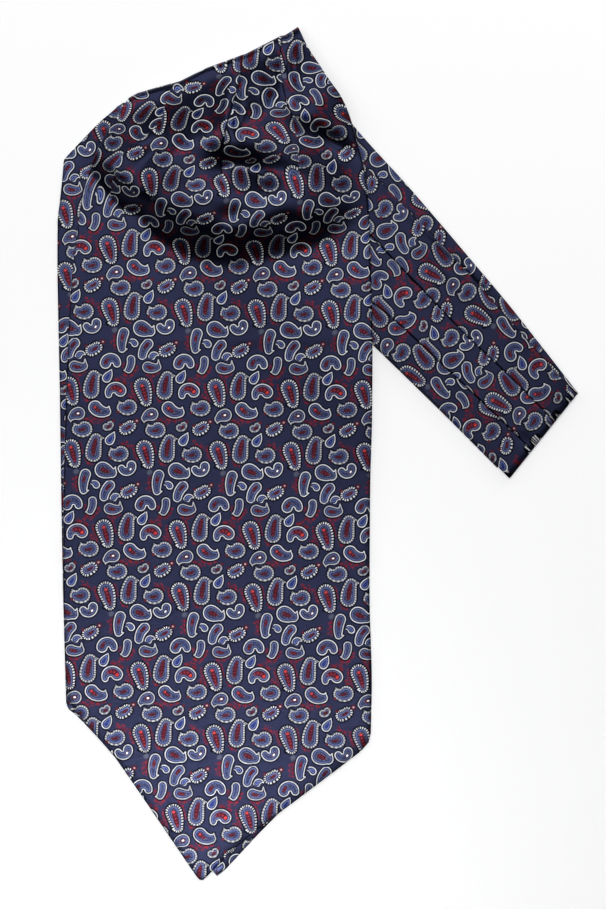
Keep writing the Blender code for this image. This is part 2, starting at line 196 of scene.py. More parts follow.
# %% The neckband's plan
# The band runs at 45 degrees, down to the right. "along" is measured that way from the blades'
# origin, "across" at right angles to it from the band's lower edge.
BAND_EDGE = 82.5 / math.sqrt(2)      # distance of the lower edge's line from the origin
Band = namedtuple("Band", "station low wide_pleat middle_pleat narrow_pleat high")
NECKBAND = (         # across, at stations from the blades' fold to the band's own fold
    Band(0.00, 0.8, 21.0, 41.0, 62.0, 81.0),
    Band(0.25, 0.2, 18.0, 39.0, 60.5, 70.0),
    Band(0.40, 0.1, 16.5, 38.0, 59.8, 68.4),
    Band(0.52, 0.1, 13.6, 37.2, 59.5, 66.5),
    Band(0.64, 0.2, 16.4, 36.6, 58.6, 64.3),
    Band(0.75, 0.6, 17.3, 36.0, 57.3, 62.2),
    Band(0.88, 0.9, 18.3, 37.0, 55.6, 58.8),
    Band(1.00, 0.8, 18.8, 36.8, 53.8, 55.4),
)
BAND_START_FROM, BAND_START_TO = -220.0, -100.0     # along, between which the band starts
HALVINGS = 30
BAND_END = 76.4      # along, at the lower edge, of the band's own fold
END_SLANT = -0.11    # and how much further along per millimetre across
LOWER_SHIFT = 0.6    # the lower half shows this far outside the upper half's lower edge
print("band width:", NECKBAND[-1].high - NECKBAND[-1].low, "mm at its fold")

# %% The pleats
# A pleat is a step along one lengthwise line: the cloth on one side lies on the other. It stands at
# full rise from the piece's start, and fades out between two stations. "hidden" is the cloth that
# is folded away inside it, where it is fullest.
Pleat = namedtuple("Pleat", "line upper rise fades_from fades_to hidden gone_by")
FRONT_PLEATS = (
    Pleat("gather", "right", 0.6, 0.075, 0.150, 20.0, 0.165),
    Pleat("long_pleat", "left", 1.3, 0.110, 0.155, 27.0, 0.18),
    Pleat("short_pleat", "left", 1.3, 0.060, 0.105, 21.0, 0.19),
)
BAND_PLEATS = (
    Pleat("wide_pleat", "right", 1.0, 0.95, 1.05, 0.0, 1.0),
    Pleat("middle_pleat", "right", 0.8, 0.95, 1.05, 0.0, 1.0),
    Pleat("narrow_pleat", "left", 0.9, 0.95, 1.05, 0.0, 1.0),
)
print("pleats:", [pleat.line for pleat in FRONT_PLEATS + BAND_PLEATS])

# %% [markdown]
# ## Curves and easing
#
# Every table and every fold is read through a few small functions. They take whole numpy arrays, so
# one call works out a line of the cloth at all its stations at once. Blender's own curves could carry
# the lines too, but a plain function can be tried and printed on its own.

# %% Small functions


def ease(value, start, end):
    """Rise smoothly from 0 at start to 1 at end."""
    t = np.clip((value - start) / (end - start), 0.0, 1.0)
    return t * t * (3 - 2 * t)


def mix(a, b, share):
    return a + (b - a) * share


def curve(stations, values):
    """Return a smooth function through the values that never overshoots a row."""
    stations, values = np.array(stations, float), np.array(values, float)
    spans = np.diff(stations)
    slopes = np.diff(values) / spans
    before, after = slopes[:-1], slopes[1:]
    same_way = before * after > 0
    inner = np.where(same_way, 2 * before * after / np.where(same_way, before + after, 1.0), 0.0)
    tangents = np.concatenate([slopes[:1], inner, slopes[-1:]])

    def at(station):
        station = np.clip(station, stations[0], stations[-1])
        i = np.clip(np.searchsorted(stations, station, side="right") - 1, 0, len(spans) - 1)
        t = (station - stations[i]) / spans[i]
        start = (1 + 2 * t) * (1 - t) ** 2 * values[i] + t * (1 - t) ** 2 * spans[i] * tangents[i]
        end = t * t * (3 - 2 * t) * values[i + 1] + t * t * (t - 1) * spans[i] * tangents[i + 1]
        return start + end

    return at


def outline(places):
    """Return y as a function of x along straight runs between places."""
    xs, ys = [place.x for place in places], [place.y for place in places]
    return lambda x: np.interp(x, xs, ys)


print("the left edge half way down the front blade is at x =",
      round(float(curve([row.station for row in FRONT_BLADE], [row.left for row in FRONT_BLADE])(0.5)), 1))

# %% [markdown]
# ## What the blades lie on
#
# A blade has no height of its own: it lies on the doubled neckband, and spans from the band's edge
# down to the table. The front blade is also gathered under the fold. The gathered cloth stands up
# softly, and it ends in a curved slope that falls away towards the point. That slope is turned from
# the light, so it reads as a dark crescent. A cloth simulation could settle the blades, but it would
# lose their pressed outlines. Heights from a few slopes and hollows keep them.

# %% Hollows, and the sizes of the gathers
Hollow = namedtuple("Hollow", "x y length width angle depth")
HOLLOWS = (
    Hollow(-36.0, 142.0, 19.0, 8.5, -10.0, 6.0),      # where the long pleat opens
    Hollow(-44.5, 145.5, 6.0, 7.0, 70.0, 1.8),        # and is deepest,
    Hollow(-41.5, 172.0, 15.0, 3.2, 84.0, 3.0),       # and the trough along it
    Hollow(-11.5, 179.0, 8.0, 6.0, -50.0, 3.4),       # where the short pleat opens,
    Hollow(-15.6, 195.0, 12.0, 2.8, 97.0, 2.6),       # and the trough along it
    Hollow(3.0, 157.0, 18.0, 5.0, -31.0, 4.0),        # the drag line to the right edge
    Hollow(-84.0, 148.0, 13.0, 6.0, 42.0, 3.0),       # and that to the left edge
    Hollow(-43.0, 118.5, 8.0, 5.0, 0.0, 1.8),         # two dents in the top of the slope
    Hollow(-17.0, 116.0, 9.0, 5.0, 8.0, 1.8),
    Hollow(-88.0, 120.5, 8.0, 6.0, 35.0, 2.6),        # the end of the slope at the left
)
HOLLOW_FALL = 1.2    # how fast a hollow fades out from its middle
HOLLOW_FROM, HOLLOW_TO = 4.0, 16.0       # the hollows open between these distances from the fold
GATHER_RISE = 9.5    # how far the gathered cloth stands over the stack
GATHER_FROM, GATHER_TO = 4.0, 38.0       # it rises between these distances from the fold,
LEFT_FROM, LEFT_TO = -136.0, -84.0       # between these x at the left
RIGHT_FROM, RIGHT_TO = 30.0, -20.0       # and between these at the right
CRESCENT_X, CRESCENT_Y = -46.0, 106.0    # lowest place of the curved slope below the gathers
CRESCENT_HALF = 58.0
LIFT_LEFT, LIFT_RIGHT = 30.0, 12.0       # how far its ends lie higher, this far from it
SLOPE_MIDDLE, SLOPE_END = 13.5, 9.0      # half width of that slope, at its middle and its ends
DRAPE_FROM = 3.5                         # the blades leave the band this far outside its edge
DRAPE_LEFT, DRAPE_RIGHT = 36.0, 70.0     # how far they span from it down to the table,
DRAPE_LEFT_ALONG, DRAPE_RIGHT_ALONG = -150.0, -40.0     # at these places along the band
print("hollows:", len(HOLLOWS), "the deepest", max(hollow.depth for hollow in HOLLOWS), "mm")

# %% The fall of the cloth


def drape(x, y):
    """Height of the blades' underside: over the doubled band, and sloping down beside it."""
    outside = BAND_EDGE - (x + y) / math.sqrt(2)
    along = (x - y) / math.sqrt(2)
    reach = mix(DRAPE_LEFT, DRAPE_RIGHT, ease(along, DRAPE_LEFT_ALONG, DRAPE_RIGHT_ALONG))
    return STACK * (1 - ease(outside, DRAPE_FROM, reach))


def turned(x, y, fold):
    """Turn x and y into shares of a fold's half length and half width."""
    angle = math.radians(fold.angle)
    dx, dy = x - fold.x, y - fold.y
    u = (dx * math.cos(angle) + dy * math.sin(angle)) / fold.length
    v = (dy * math.cos(angle) - dx * math.sin(angle)) / fold.width
    return u, v


def over_crescent(x, y):
    """How far y lies over the middle of the curved slope, and the slope's half width there."""
    offset = (x - CRESCENT_X) / CRESCENT_HALF
    middle = CRESCENT_Y + np.where(offset < 0, LIFT_LEFT, LIFT_RIGHT) * offset * offset
    return y - middle, mix(SLOPE_MIDDLE, SLOPE_END, np.minimum(np.abs(offset), 1.0))


def gathers(x, y):
    """Extra height of the gathered cloth between the fold and the curved slope under it."""
    over, half = over_crescent(x, y)
    below_fold = outline(FOLD_EDGE)(x) - y
    rise = GATHER_RISE * ease(over, -half, half) * ease(below_fold, GATHER_FROM, GATHER_TO)
    rise = rise * ease(x, LEFT_FROM, LEFT_TO) * ease(-x, -RIGHT_FROM, -RIGHT_TO)
    for hollow in HOLLOWS:
        u, v = turned(x, y, hollow)
        depth = hollow.depth * np.exp(-HOLLOW_FALL * (u * u + v * v))
        rise = rise - depth * ease(below_fold, HOLLOW_FROM, HOLLOW_TO)
    return np.maximum(rise, 0.0)


def under_front_blade(x, y):
    """Height of the front blade's underside, which lies on the back blade."""
    return drape(x, y) + BLADE_WALL + GAP + gathers(x, y)


print("the gathers stand", round(float(gathers(np.array(-60.0), np.array(150.0))), 2), "mm over the stack")

# %% [markdown]
# ## Creases one by one
#
# Silk that has been folded keeps soft creases. Each is one row: its middle, half length, half
# width, direction, bow and height, where a trough has a height below zero. They are added to the
# outer face alone, so the cloth under them isn't touched. They could be sculpted, but a row can be
# read, moved and made softer later.

# %% Creases
Crease = namedtuple("Crease", "x y length width angle bow height")
FRONT_CREASES = (
    Crease(-50.0, 52.0, 85.0, 3.2, 0.5, 0.6, -0.16),      # pressed across, from the packing
    Crease(-50.0, 56.5, 85.0, 3.0, 0.5, 0.6, 0.10),
    Crease(-48.0, -17.5, 90.0, 2.6, -0.4, -0.5, -0.14),
    Crease(-48.0, -21.5, 90.0, 2.8, -0.4, -0.5, 0.09),
    Crease(-96.0, 96.0, 26.0, 4.0, -8.0, 1.5, -0.25),
    Crease(10.0, 104.0, 18.0, 3.5, 9.0, -1.0, -0.25),
    Crease(-70.0, 160.0, 16.0, 3.4, 78.0, 1.2, 0.45),
    Crease(-58.0, 168.0, 20.0, 3.0, 84.0, -1.0, -0.35),
    Crease(-101.0, 150.0, 20.0, 3.2, 57.0, 1.4, 0.40),
    Crease(-26.0, 178.0, 15.0, 2.8, 105.0, 0.8, 0.40),
    Crease(-30.0, 162.0, 12.0, 2.6, 112.0, 0.8, -0.40),
    Crease(-2.0, 150.0, 20.0, 3.4, -35.0, -1.4, 0.45),
    Crease(-6.0, 138.0, 20.0, 3.2, -24.0, -1.6, -0.40),
    Crease(-62.0, 128.0, 20.0, 4.4, 12.0, 2.4, 0.35),
)
BACK_CREASES = (
    Crease(-118.0, 148.0, 18.0, 3.0, 52.0, 1.2, 0.30),
    Crease(-112.0, 160.0, 16.0, 2.6, 46.0, 1.0, -0.25),
    Crease(-50.0, 52.0, 85.0, 3.2, 0.5, 0.6, -0.12),
    Crease(-48.0, -17.5, 90.0, 2.6, -0.4, -0.5, -0.10),
)
BAND_CREASES = (     # on the band, x and y are along and across
    Crease(-16.0, 57.0, 20.0, 2.0, 2.0, 0.5, -1.00),      # the open pocket of the narrow pleat
    Crease(-20.0, 51.5, 26.0, 2.8, 1.0, 0.4, 0.40),
    Crease(70.0, 21.0, 7.0, 2.6, 20.0, 0.4, -0.50),       # and that of the wide one
    Crease(20.0, 28.0, 34.0, 2.2, 2.0, -0.7, 0.12),
    Crease(38.0, 8.0, 26.0, 2.4, 3.0, 0.6, -0.12),
    Crease(-40.0, 30.0, 24.0, 2.6, -4.0, 0.9, 0.14),
)


def relief(x, y, creases):
    """Height that a list of creases adds at places of the cloth."""
    height = np.zeros(np.broadcast(x, y).shape)
    for crease in creases:
        u, v = turned(x, y, crease)
        v = v - crease.bow * u * u / crease.width
        height += crease.height * np.exp(-v * v - u ** 4)
    return height


print("creases:", len(FRONT_CREASES), len(BACK_CREASES), len(BAND_CREASES))

# %% [markdown]
# ## Columns across a strip
#
# Each mesh is a grid of columns and rows. Columns lie close together where the cloth turns sharply:
# at a side edge, which is rounded like a turned and pressed hem, and at a pleat, whose folded edge
# is rounded and casts a thin shadow line on the cloth beside it. An even grid would have to be as
# close as that everywhere.

# %% Where the close columns lie
EDGE_STEPS = (0.0, 0.12, 0.35, 0.7, 1.15)       # distances of the close columns from a side edge,
FOLD_STEPS = (0.0, 0.12, 0.35, 0.7, 1.1)        # from the upper side of a pleat's edge
FOOT_STEPS = (0.12, 0.5, 1.0, 1.7)              # and from its lower side
EDGE_ROUND = 1.1     # a side edge is rounded over this width,
EDGE_SHARE = 0.12    # down to this share of the wall
FOLD_ROUND = 0.9     # radius of a pleat's folded edge
FOLD_DROP = 0.5      # how far that rounding falls, as a share of the pleat's rise
FOOT_DEPTH = 0.08    # depth of the crease at a pleat's foot, as a share of the same,
FOOT_WIDTH = 1.1     # and its width
CLOSE = 2.4          # the plain columns stay this far from edges and pleats
RISE_BOW = 1.5       # a pleat's rise falls off over its panel by this power


def round_share(distance, radius, least):
    """Share of the full thickness at a distance from a rounded edge."""
    inside = np.clip(1 - np.asarray(distance) / radius, 0.0, 1.0)
    return least + (1 - least) * np.sqrt(1 - inside * inside)


print("shares of the wall at the edge columns:", np.round(round_share(EDGE_STEPS, EDGE_ROUND, EDGE_SHARE), 2))

# %% The columns and lines of a strip
Column = namedtuple("Column", "panel share shift rim drop line")


class Strip:
    """A strip of cloth laid out between lengthwise lines."""

    def __init__(self, table, pleats, spacing):
        self.lines = table[0]._fields[1:]
        self.stations = [row.station for row in table]
        self.line_at = [curve(self.stations, [getattr(row, line) for row in table]) for line in self.lines]
        self.pleats = {self.lines.index(pleat.line): pleat for pleat in pleats}
        half_way = [float(at(0.5)) for at in self.line_at]
        self.widths = np.diff(half_way)
        self.columns = []
        for panel in range(len(self.lines) - 1):
            self.add_panel(panel, spacing)

    def side_columns(self, panel, line):
        """Close columns of a panel beside one of its two lines, from that line inwards."""
        way = 1 if line == panel else -1
        share = 0.0 if line == panel else 1.0
        pleat = self.pleats.get(line)
        if line in (0, len(self.lines) - 1):
            rims = [float(round_share(step, EDGE_ROUND, EDGE_SHARE)) for step in EDGE_STEPS]
            return [Column(panel, share, way * step, rim, 0.0, -1) for step, rim in zip(EDGE_STEPS, rims)]
        if pleat is None:
            return [] if line == panel else [Column(panel, share, 0.0, 1.0, 0.0, -1)]
        if pleat.upper == ("right" if line == panel else "left"):
            fall = pleat.rise * FOLD_DROP
            drops = [fall * (1 - float(round_share(step, FOLD_ROUND, 0.0))) for step in FOLD_STEPS]
            return [Column(panel, share, way * step, 1.0, drop, line)
                    for step, drop in zip(FOLD_STEPS, drops)]
        depth = pleat.rise * FOOT_DEPTH
        return [Column(panel, share, way * step, 1.0, depth * math.exp(-(step / FOOT_WIDTH) ** 2), line)
                for step in FOOT_STEPS]

    def add_panel(self, panel, spacing):
        """Add a panel's columns: close ones beside its lines, and plain ones between."""
        width = self.widths[panel]
        start, end = self.side_columns(panel, panel), self.side_columns(panel, panel + 1)
        low = CLOSE / width if len(start) > 1 else 0.0
        high = 1 - CLOSE / width if len(end) > 1 else 1.0
        count = max(2, round((high - low) * width / spacing))
        shares = [mix(low, high, step / count) for step in range(count + 1)]
        shares = shares[1:] if not start else shares
        shares = shares[:-1] if len(end) == 1 else shares
        self.columns += start + [Column(panel, share, 0.0, 1.0, 0.0, -1) for share in shares] + end[::-1]

    def across(self, station):
        """Each column's place across the strip, in one row for each station."""
        lines = [at(station) for at in self.line_at]
        squeezed = [np.minimum(1.0, (end - start) / width)
                    for start, end, width in zip(lines, lines[1:], self.widths)]
        return np.stack([mix(lines[c.panel], lines[c.panel + 1], c.share) + c.shift * squeezed[c.panel]
                         for c in self.columns], -1)

    def strength(self, line, station):
        """Share of a pleat's rise that is left at the stations."""
        pleat = self.pleats[line]
        return 1 - ease(station, pleat.fades_from, pleat.fades_to)

    def rise(self, station):
        """Height of the pleats over the plain wall, for each station and column."""
        rows = []
        for column in self.columns:
            height = np.zeros(np.shape(station))
            low, high = column.panel, column.panel + 1
            left, right = self.pleats.get(low), self.pleats.get(high)
            if left and left.upper == "right":
                height = height + left.rise * self.strength(low, station) * (1 - column.share) ** RISE_BOW
            if right and right.upper == "left":
                height = height + right.rise * self.strength(high, station) * column.share ** RISE_BOW
            if column.line >= 0:
                height = height - column.drop * self.strength(column.line, station)
            rows.append(height)
        return np.stack(rows, -1)

    def rims(self):
        """Each column's share of the full thickness."""
        return np.array([column.rim for column in self.columns])


FRONT_STRIP = Strip(FRONT_BLADE, FRONT_PLEATS, 1.7)
BACK_STRIP = Strip(BACK_BLADE, (), 2.6)
UPPER_STRIP = Strip(NECKBAND, BAND_PLEATS, 1.5)
LOWER_STRIP = Strip(NECKBAND, (), 2.6)
print("columns:", [len(strip.columns) for strip in (FRONT_STRIP, BACK_STRIP, UPPER_STRIP, LOWER_STRIP)])

# %% [markdown]
# ## The pattern follows the cloth
#
# A woven pattern is part of the cloth, so it turns and is cut off where the cloth does. Each panel
# is unrolled on its own: a place's distance from the panel's folded edge, and its distance along
# that edge, are the same on the table as in the cut cloth. At a pleat the two sides differ by the
# cloth that is folded away, so the motifs break off at the fold. The result is a UV map, in metres
# of cloth, which the material reads. Object coordinates would run the pattern straight across every
# fold, as if it were printed on afterwards.

# %% Unrolling a blade's panels
# A panel has a folded edge, that edge's u in the cut cloth, the way in which its hidden cloth lies,
# and a guide to unroll it from, which is that edge or runs near it.
Panel = namedtuple("Panel", "line cloth_u way guide")
GATHER_GUIDE = curve((0.0, 0.02, 0.045, 0.09, 0.16, 1.0), (-73.6, -76.0, -78.4, -81.4, -84.0, -84.0))
FRONT_PANELS = (
    Panel("gather", -84.0, -1, GATHER_GUIDE),
    Panel("gather", -84.0, 0, GATHER_GUIDE),
    Panel("long_pleat", -48.5, 1, FRONT_STRIP.line_at[2]),
    Panel("short_pleat", -9.0, 1, FRONT_STRIP.line_at[3]),
)
BACK_PANELS = 2 * (Panel("middle", -50.3, 0, BACK_STRIP.line_at[1]),)
LEAN = 0.4           # how far a panel turns with its hidden cloth. The rest is eased in by steam.
Tuck = namedtuple("Tuck", "panels start end hidden")
FRONT_TUCKS = (      # small folds across some of the panels, between two heights over the slope's middle
    Tuck((0, 1, 2, 3), -8.0, 14.0, 6.5),
    Tuck((0,), 26.0, 50.0, 3.0),
    Tuck((2,), 33.0, 46.0, 8.0),
    Tuck((3,), 25.0, 40.0, 2.0),
    Tuck((3,), 43.0, 53.0, 5.0),
)


def tucked(strip, x, y, tucks):
    """Length of cloth that lies hidden in small folds across the blade, below each place."""
    over = over_crescent(x, y)[0]
    panel = np.array([column.panel for column in strip.columns])
    hidden = np.zeros(x.shape)
    for tuck in tucks:
        hidden = hidden + np.isin(panel, tuck.panels) * tuck.hidden * ease(over, tuck.start, tuck.end)
    return hidden


def unroll(strip, panels, stations, x, y, line_y):
    """Cloth u and v of each grid place. line_y gives a line's y at the stations, from its x."""
    u, v = np.zeros(x.shape), np.zeros(x.shape)
    for place, panel in enumerate(panels):
        line = strip.lines.index(panel.line)
        pleat = strip.pleats.get(line)
        line_x = panel.guide(stations)
        ys = line_y(line_x, stations)
        steps = np.hypot(np.diff(line_x), np.diff(ys))
        line_v = ys[-1] + np.concatenate([np.cumsum(steps[::-1])[::-1], [0.0]])
        tangent_x, tangent_y = np.gradient(line_x, line_v), np.gradient(ys, line_v)
        hidden = pleat.hidden * (1 - ease(stations, 0.0, pleat.gone_by)) if pleat else 0.0 * stations
        line_u = panel.cloth_u + panel.way * hidden
        lean = LEAN * np.arctan(np.gradient(line_u, line_v))
        for column in (c for c, each in enumerate(strip.columns) if each.panel == place):
            dx, dy = x[:, column] - line_x, y[:, column] - ys
            right = dx * tangent_y - dy * tangent_x
            up = dx * tangent_x + dy * tangent_y
            u[:, column] = line_u + right * np.cos(lean) + up * np.sin(lean)
            v[:, column] = line_v - right * np.sin(lean) + up * np.cos(lean)
    return u, v


print("cloth hidden in the blade's pleats:", [pleat.hidden for pleat in FRONT_PLEATS], "mm")

# %% [markdown]
# ## From rows of points to a shell
#
# A shell has an outer and an inner face, half a wall's thickness on each side of its middle
# surface, and strips that close it along its four sides. The thickness falls off at the edges, which
# rounds them. A Solidify modifier makes a wall of even thickness. Here the wall thins at its edges,
# and its pleats stand on one face only, so both faces are worked out.

# %% Building a closed shell
Rows = namedtuple("Rows", "centre normal thickness lift u v")


def grid_faces(rows, columns, offset, flip):
    """Corner numbers of the quads of a grid whose first point has the number offset."""
    r, c = np.meshgrid(np.arange(rows - 1), np.arange(columns - 1), indexing="ij")
    a = (offset + r * columns + c).ravel()
    corners = [a, a + columns, a + columns + 1, a + 1]
    return np.stack(corners[::-1] if flip else corners, -1)


def rim_faces(rows, columns):
    """Quads that join the outer and the inner grid round their four sides."""
    count = rows * columns
    left = [r * columns for r in range(rows)]
    bottom = [(rows - 1) * columns + c for c in range(columns)]
    right = [r * columns + columns - 1 for r in range(rows)][::-1]
    top = list(range(columns))[::-1]
    ring = left[:-1] + bottom[:-1] + right[:-1] + top[:-1]
    return np.array([(a, a + count, b + count, b) for a, b in zip(ring, ring[1:] + ring[:1])])


def shell_mesh(name, strip, rows):
    """Make the closed shell's mesh, with the cloth's UV map."""
    height, width = rows.thickness.shape
    half = (rows.thickness / 2)[..., None]
    outer = rows.centre + rows.normal * (half + rows.lift[..., None])
    inner = rows.centre - rows.normal * half
    points = MM * np.concatenate([outer.reshape(-1, 3), inner.reshape(-1, 3)])
    faces = np.concatenate([grid_faces(height, width, 0, False),
                            grid_faces(height, width, height * width, True),
                            rim_faces(height, width)])
    mesh = bpy.data.meshes.new(name)
    mesh.from_pydata(points.tolist(), [], faces.tolist())
    uv = np.stack([rows.u, rows.v], -1).reshape(-1, 2)
    cloth = np.concatenate([uv, uv])[faces.ravel()].reshape(-1, 4, 2)
    mend_steps(strip, faces, cloth, height, width)
    layer = mesh.uv_layers.new(name="cloth")
    layer.data.foreach_set("uv", (MM * cloth).astype(np.float32).ravel())
    mesh.shade_smooth()
    mesh.validate()
    return mesh


print("a shell of 3 by 3 points has", 2 * len(grid_faces(3, 3, 0, False)) + len(rim_faces(3, 3)), "faces")

# %% Cutting the pattern off at a pleat


def mend_steps(strip, faces, cloth, height, width):
    """Give the narrow step at a pleat the pattern of the cloth on top, not a smear of both."""
    column = faces % (height * width) % width
    for c, (left, right) in enumerate(zip(strip.columns, strip.columns[1:])):
        if left.panel == right.panel:
            continue
        on_left = strip.pleats and strip.pleats[right.panel].upper == "left"
        keep, other = (c, c + 1) if on_left else (c + 1, c)
        for face in np.nonzero((column.min(1) == c) & (column.max(1) == c + 1))[0]:
            for corner in range(4):
                if column[face, corner] == other:
                    same_row = [k for k in range(4) if column[face, k] == keep
                                and faces[face, k] - keep == faces[face, corner] - other]
                    if same_row:
                        cloth[face, corner] = cloth[face, same_row[0]]


print("pleats where the pattern is cut off:", len(FRONT_STRIP.pleats) + len(UPPER_STRIP.pleats))

# %% [markdown]
# ## Rows of a blade
#
# A blade starts under its own fold, runs up and over the fold in a half circle, and then lies flat
# down to its point. Its lowest rows follow the pointed hem. A pointed outline could be cut out of a
# straight grid, but rows that bend with the hem keep it one clean folded edge.

# %% The blades' rows
HEM_STEPS = (1.15, 0.7, 0.35, 0.12, 0.0)       # distances of the last rows from the hem
ROLL_FADE_FROM, ROLL_FADE_TO = 0.15, 0.45    # a pleat fades out between these shares of the roll
ROLL_ROWS = 18
SEAM_WIDTH, SEAM_RISE = 7.0, 0.14      # the seam's turnings make the cloth thicker beside an edge,
SEAM_FROM, SEAM_TO = 0.3, 1.8          # from the edge's rounding on,
SEAM_SOFT = 1.2                        # and end softly


def blade_rows(strip, panels, top, bottom, inset, radius, low, under, creases, tucks, stations):
    """Rows of a blade, from the return under its fold to its point."""
    turn = np.linspace(math.pi, 0.0, ROLL_ROWS + 1)[:-1]
    crest = strip.stations[0]
    x_crest, x_end = strip.across(np.array(crest)), strip.across(np.array(1.0))
    start = top(x_crest) - inset - radius - BLADE_WALL / 2
    length = float(np.median(start - bottom(x_end)))
    flat = np.concatenate([stations, 1 - np.array(HEM_STEPS) / length])
    x = strip.across(flat)
    y = mix(start, bottom(x_end), flat[:, None])
    z = under(x, y) + BLADE_WALL / 2

    roll_y = start + radius * np.sin(turn)[:, None]
    roll_z = np.broadcast_to(low + radius * (1 + np.cos(turn))[:, None], roll_y.shape)
    roll_x = strip.across(crest * np.where(turn < math.pi / 2, np.sin(turn), 1.0))
    back = np.stack([x_crest, start - RETURN, np.full(x_crest.shape, low)], -1)[None]
    over = np.stack([roll_x, roll_y, roll_z], -1)
    centre = np.concatenate([back, over, np.stack([x, y, z], -1)])

    angles = np.concatenate([[math.pi], turn, np.zeros(len(flat))])
    normal = np.stack([np.zeros(len(angles)), np.sin(angles), np.cos(angles)], -1)[:, None]
    fade = 1 - ease(turn, math.pi * ROLL_FADE_FROM, math.pi * ROLL_FADE_TO)
    rise = strip.rise(np.array(0.0)) * np.concatenate([[0.0], fade])[:, None]
    soft = relief(x, y, creases) + seam(x, flat, length)
    lift = np.concatenate([rise, strip.rise(flat) + soft])

    hem = round_share((1 - flat) * length, EDGE_ROUND, EDGE_SHARE)
    rims = np.concatenate([np.ones(len(turn) + 1), hem])
    thickness = BLADE_WALL * np.minimum(rims[:, None], strip.rims())
    lift = lift * np.minimum(rims[:, None], strip.rims())

    def line_y(line_x, at):
        first = top(line_x[0]) - inset - radius - BLADE_WALL / 2
        return mix(first, bottom(line_x[-1]), at)

    u, v = unroll(strip, panels, flat, x, y, line_y)
    v = v + tucked(strip, x, y, tucks)
    rolled = radius * np.concatenate([[math.pi], turn])[:, None]
    rolled[0] += RETURN
    u = np.concatenate([u[0] + (x_crest - x[0])[None], u[0] + roll_x - x[0], u])
    v = np.concatenate([v[0] + rolled, v])
    return Rows(centre, np.broadcast_to(normal, centre.shape), thickness, lift, u, v)


def seam(x, flat, length):
    """Height of the turnings that lie inside the blade along its edges."""
    left, right = x - x[:, :1], x[:, -1:] - x
    hem = (1 - flat)[:, None] * length
    nearest = np.minimum(np.minimum(left, right), hem)
    inner = 1 - ease(nearest, SEAM_WIDTH - SEAM_SOFT, SEAM_WIDTH + SEAM_SOFT)
    return SEAM_RISE * ease(nearest, SEAM_FROM, SEAM_TO) * inner


def spread(*runs):
    """Stations from runs of (start, end, count), each without its end."""
    return np.concatenate([np.linspace(start, end, count, endpoint=False) for start, end, count in runs])


print("rows under and round a fold:", ROLL_ROWS + 1)

# %% Lay both blades
BLADE_STATIONS = spread((0.0, 0.34, 84), (0.34, 0.70, 48), (0.70, 0.985, 34))
front_rows = blade_rows(FRONT_STRIP, FRONT_PANELS, outline(FOLD_EDGE), outline(FRONT_POINT),
                        0.0, FRONT_ROLL, BLADE_WALL / 2, under_front_blade,
                        FRONT_CREASES, FRONT_TUCKS, BLADE_STATIONS)
back_rows = blade_rows(BACK_STRIP, BACK_PANELS, outline(FOLD_EDGE), outline(BACK_POINT),
                       BACK_INSET, BACK_ROLL, BAND_BASE + BLADE_WALL / 2, drape,
                       BACK_CREASES, (), BLADE_STATIONS)
print("front blade grid:", front_rows.thickness.shape, "back blade grid:", back_rows.thickness.shape)

# %% [markdown]
# ## Rows of the neckband
#
# The upper half lies face up with its pleats, and rolls over at its far end. The lower half lies on
# the table under it and ends inside that roll. In the cut cloth the band runs along the blades'
# length, so on the table its pattern is turned by 45 degrees. The rows are laid in the band's own
# directions and turned last, which is simpler than bending a blade's table round the corner.

# %% Places on the neckband
BAND_ROLL_ROWS = 12
BAND_FADE_FROM, BAND_FADE_TO = 0.1, 0.5  # a pleat fades out between these shares of the roll
Cloth = namedtuple("Cloth", "u v")
BAND_CLOTH = (       # where each panel of the upper half lies in the pattern, from low to high
    Cloth(-1.9, 6.1),
    Cloth(-6.0, 6.1),
    Cloth(-46.5, 8.0),
    Cloth(-33.0, -20.0),
)


def band_place(along, across):
    """Turn a place on the neckband into x and y."""
    across = across + BAND_EDGE
    return (across + along) / math.sqrt(2), (across - along) / math.sqrt(2)


def band_start(across):
    """Along, where the band meets the ends of the blades' rolled edges under the fold."""
    roll = FRONT_ROLL + BLADE_WALL / 2 + RETURN + 4 * GAP
    outer = np.full(across.shape, BAND_START_FROM)
    inner = np.full(across.shape, BAND_START_TO)
    for _ in range(HALVINGS):
        middle = (outer + inner) / 2
        x, y = band_place(middle, across)
        beyond = y > outline(FOLD_EDGE)(x) - roll
        outer = np.where(beyond, middle, outer)
        inner = np.where(beyond, inner, middle)
    return inner


def band_end(across, wall, rolled):
    """Along, where the band's flat part ends: before its rolled fold, or inside that roll."""
    end = BAND_END + END_SLANT * across - wall / 2 - BAND_BASE / 2
    return end if rolled else end - wall - RETURN - 3 * GAP


band_corner = band_place(band_start(np.array([0.0]))[0], 0.0)
print("the band's lower edge leaves the blades at", [round(float(c), 1) for c in band_corner])

# %% The neckband's rows


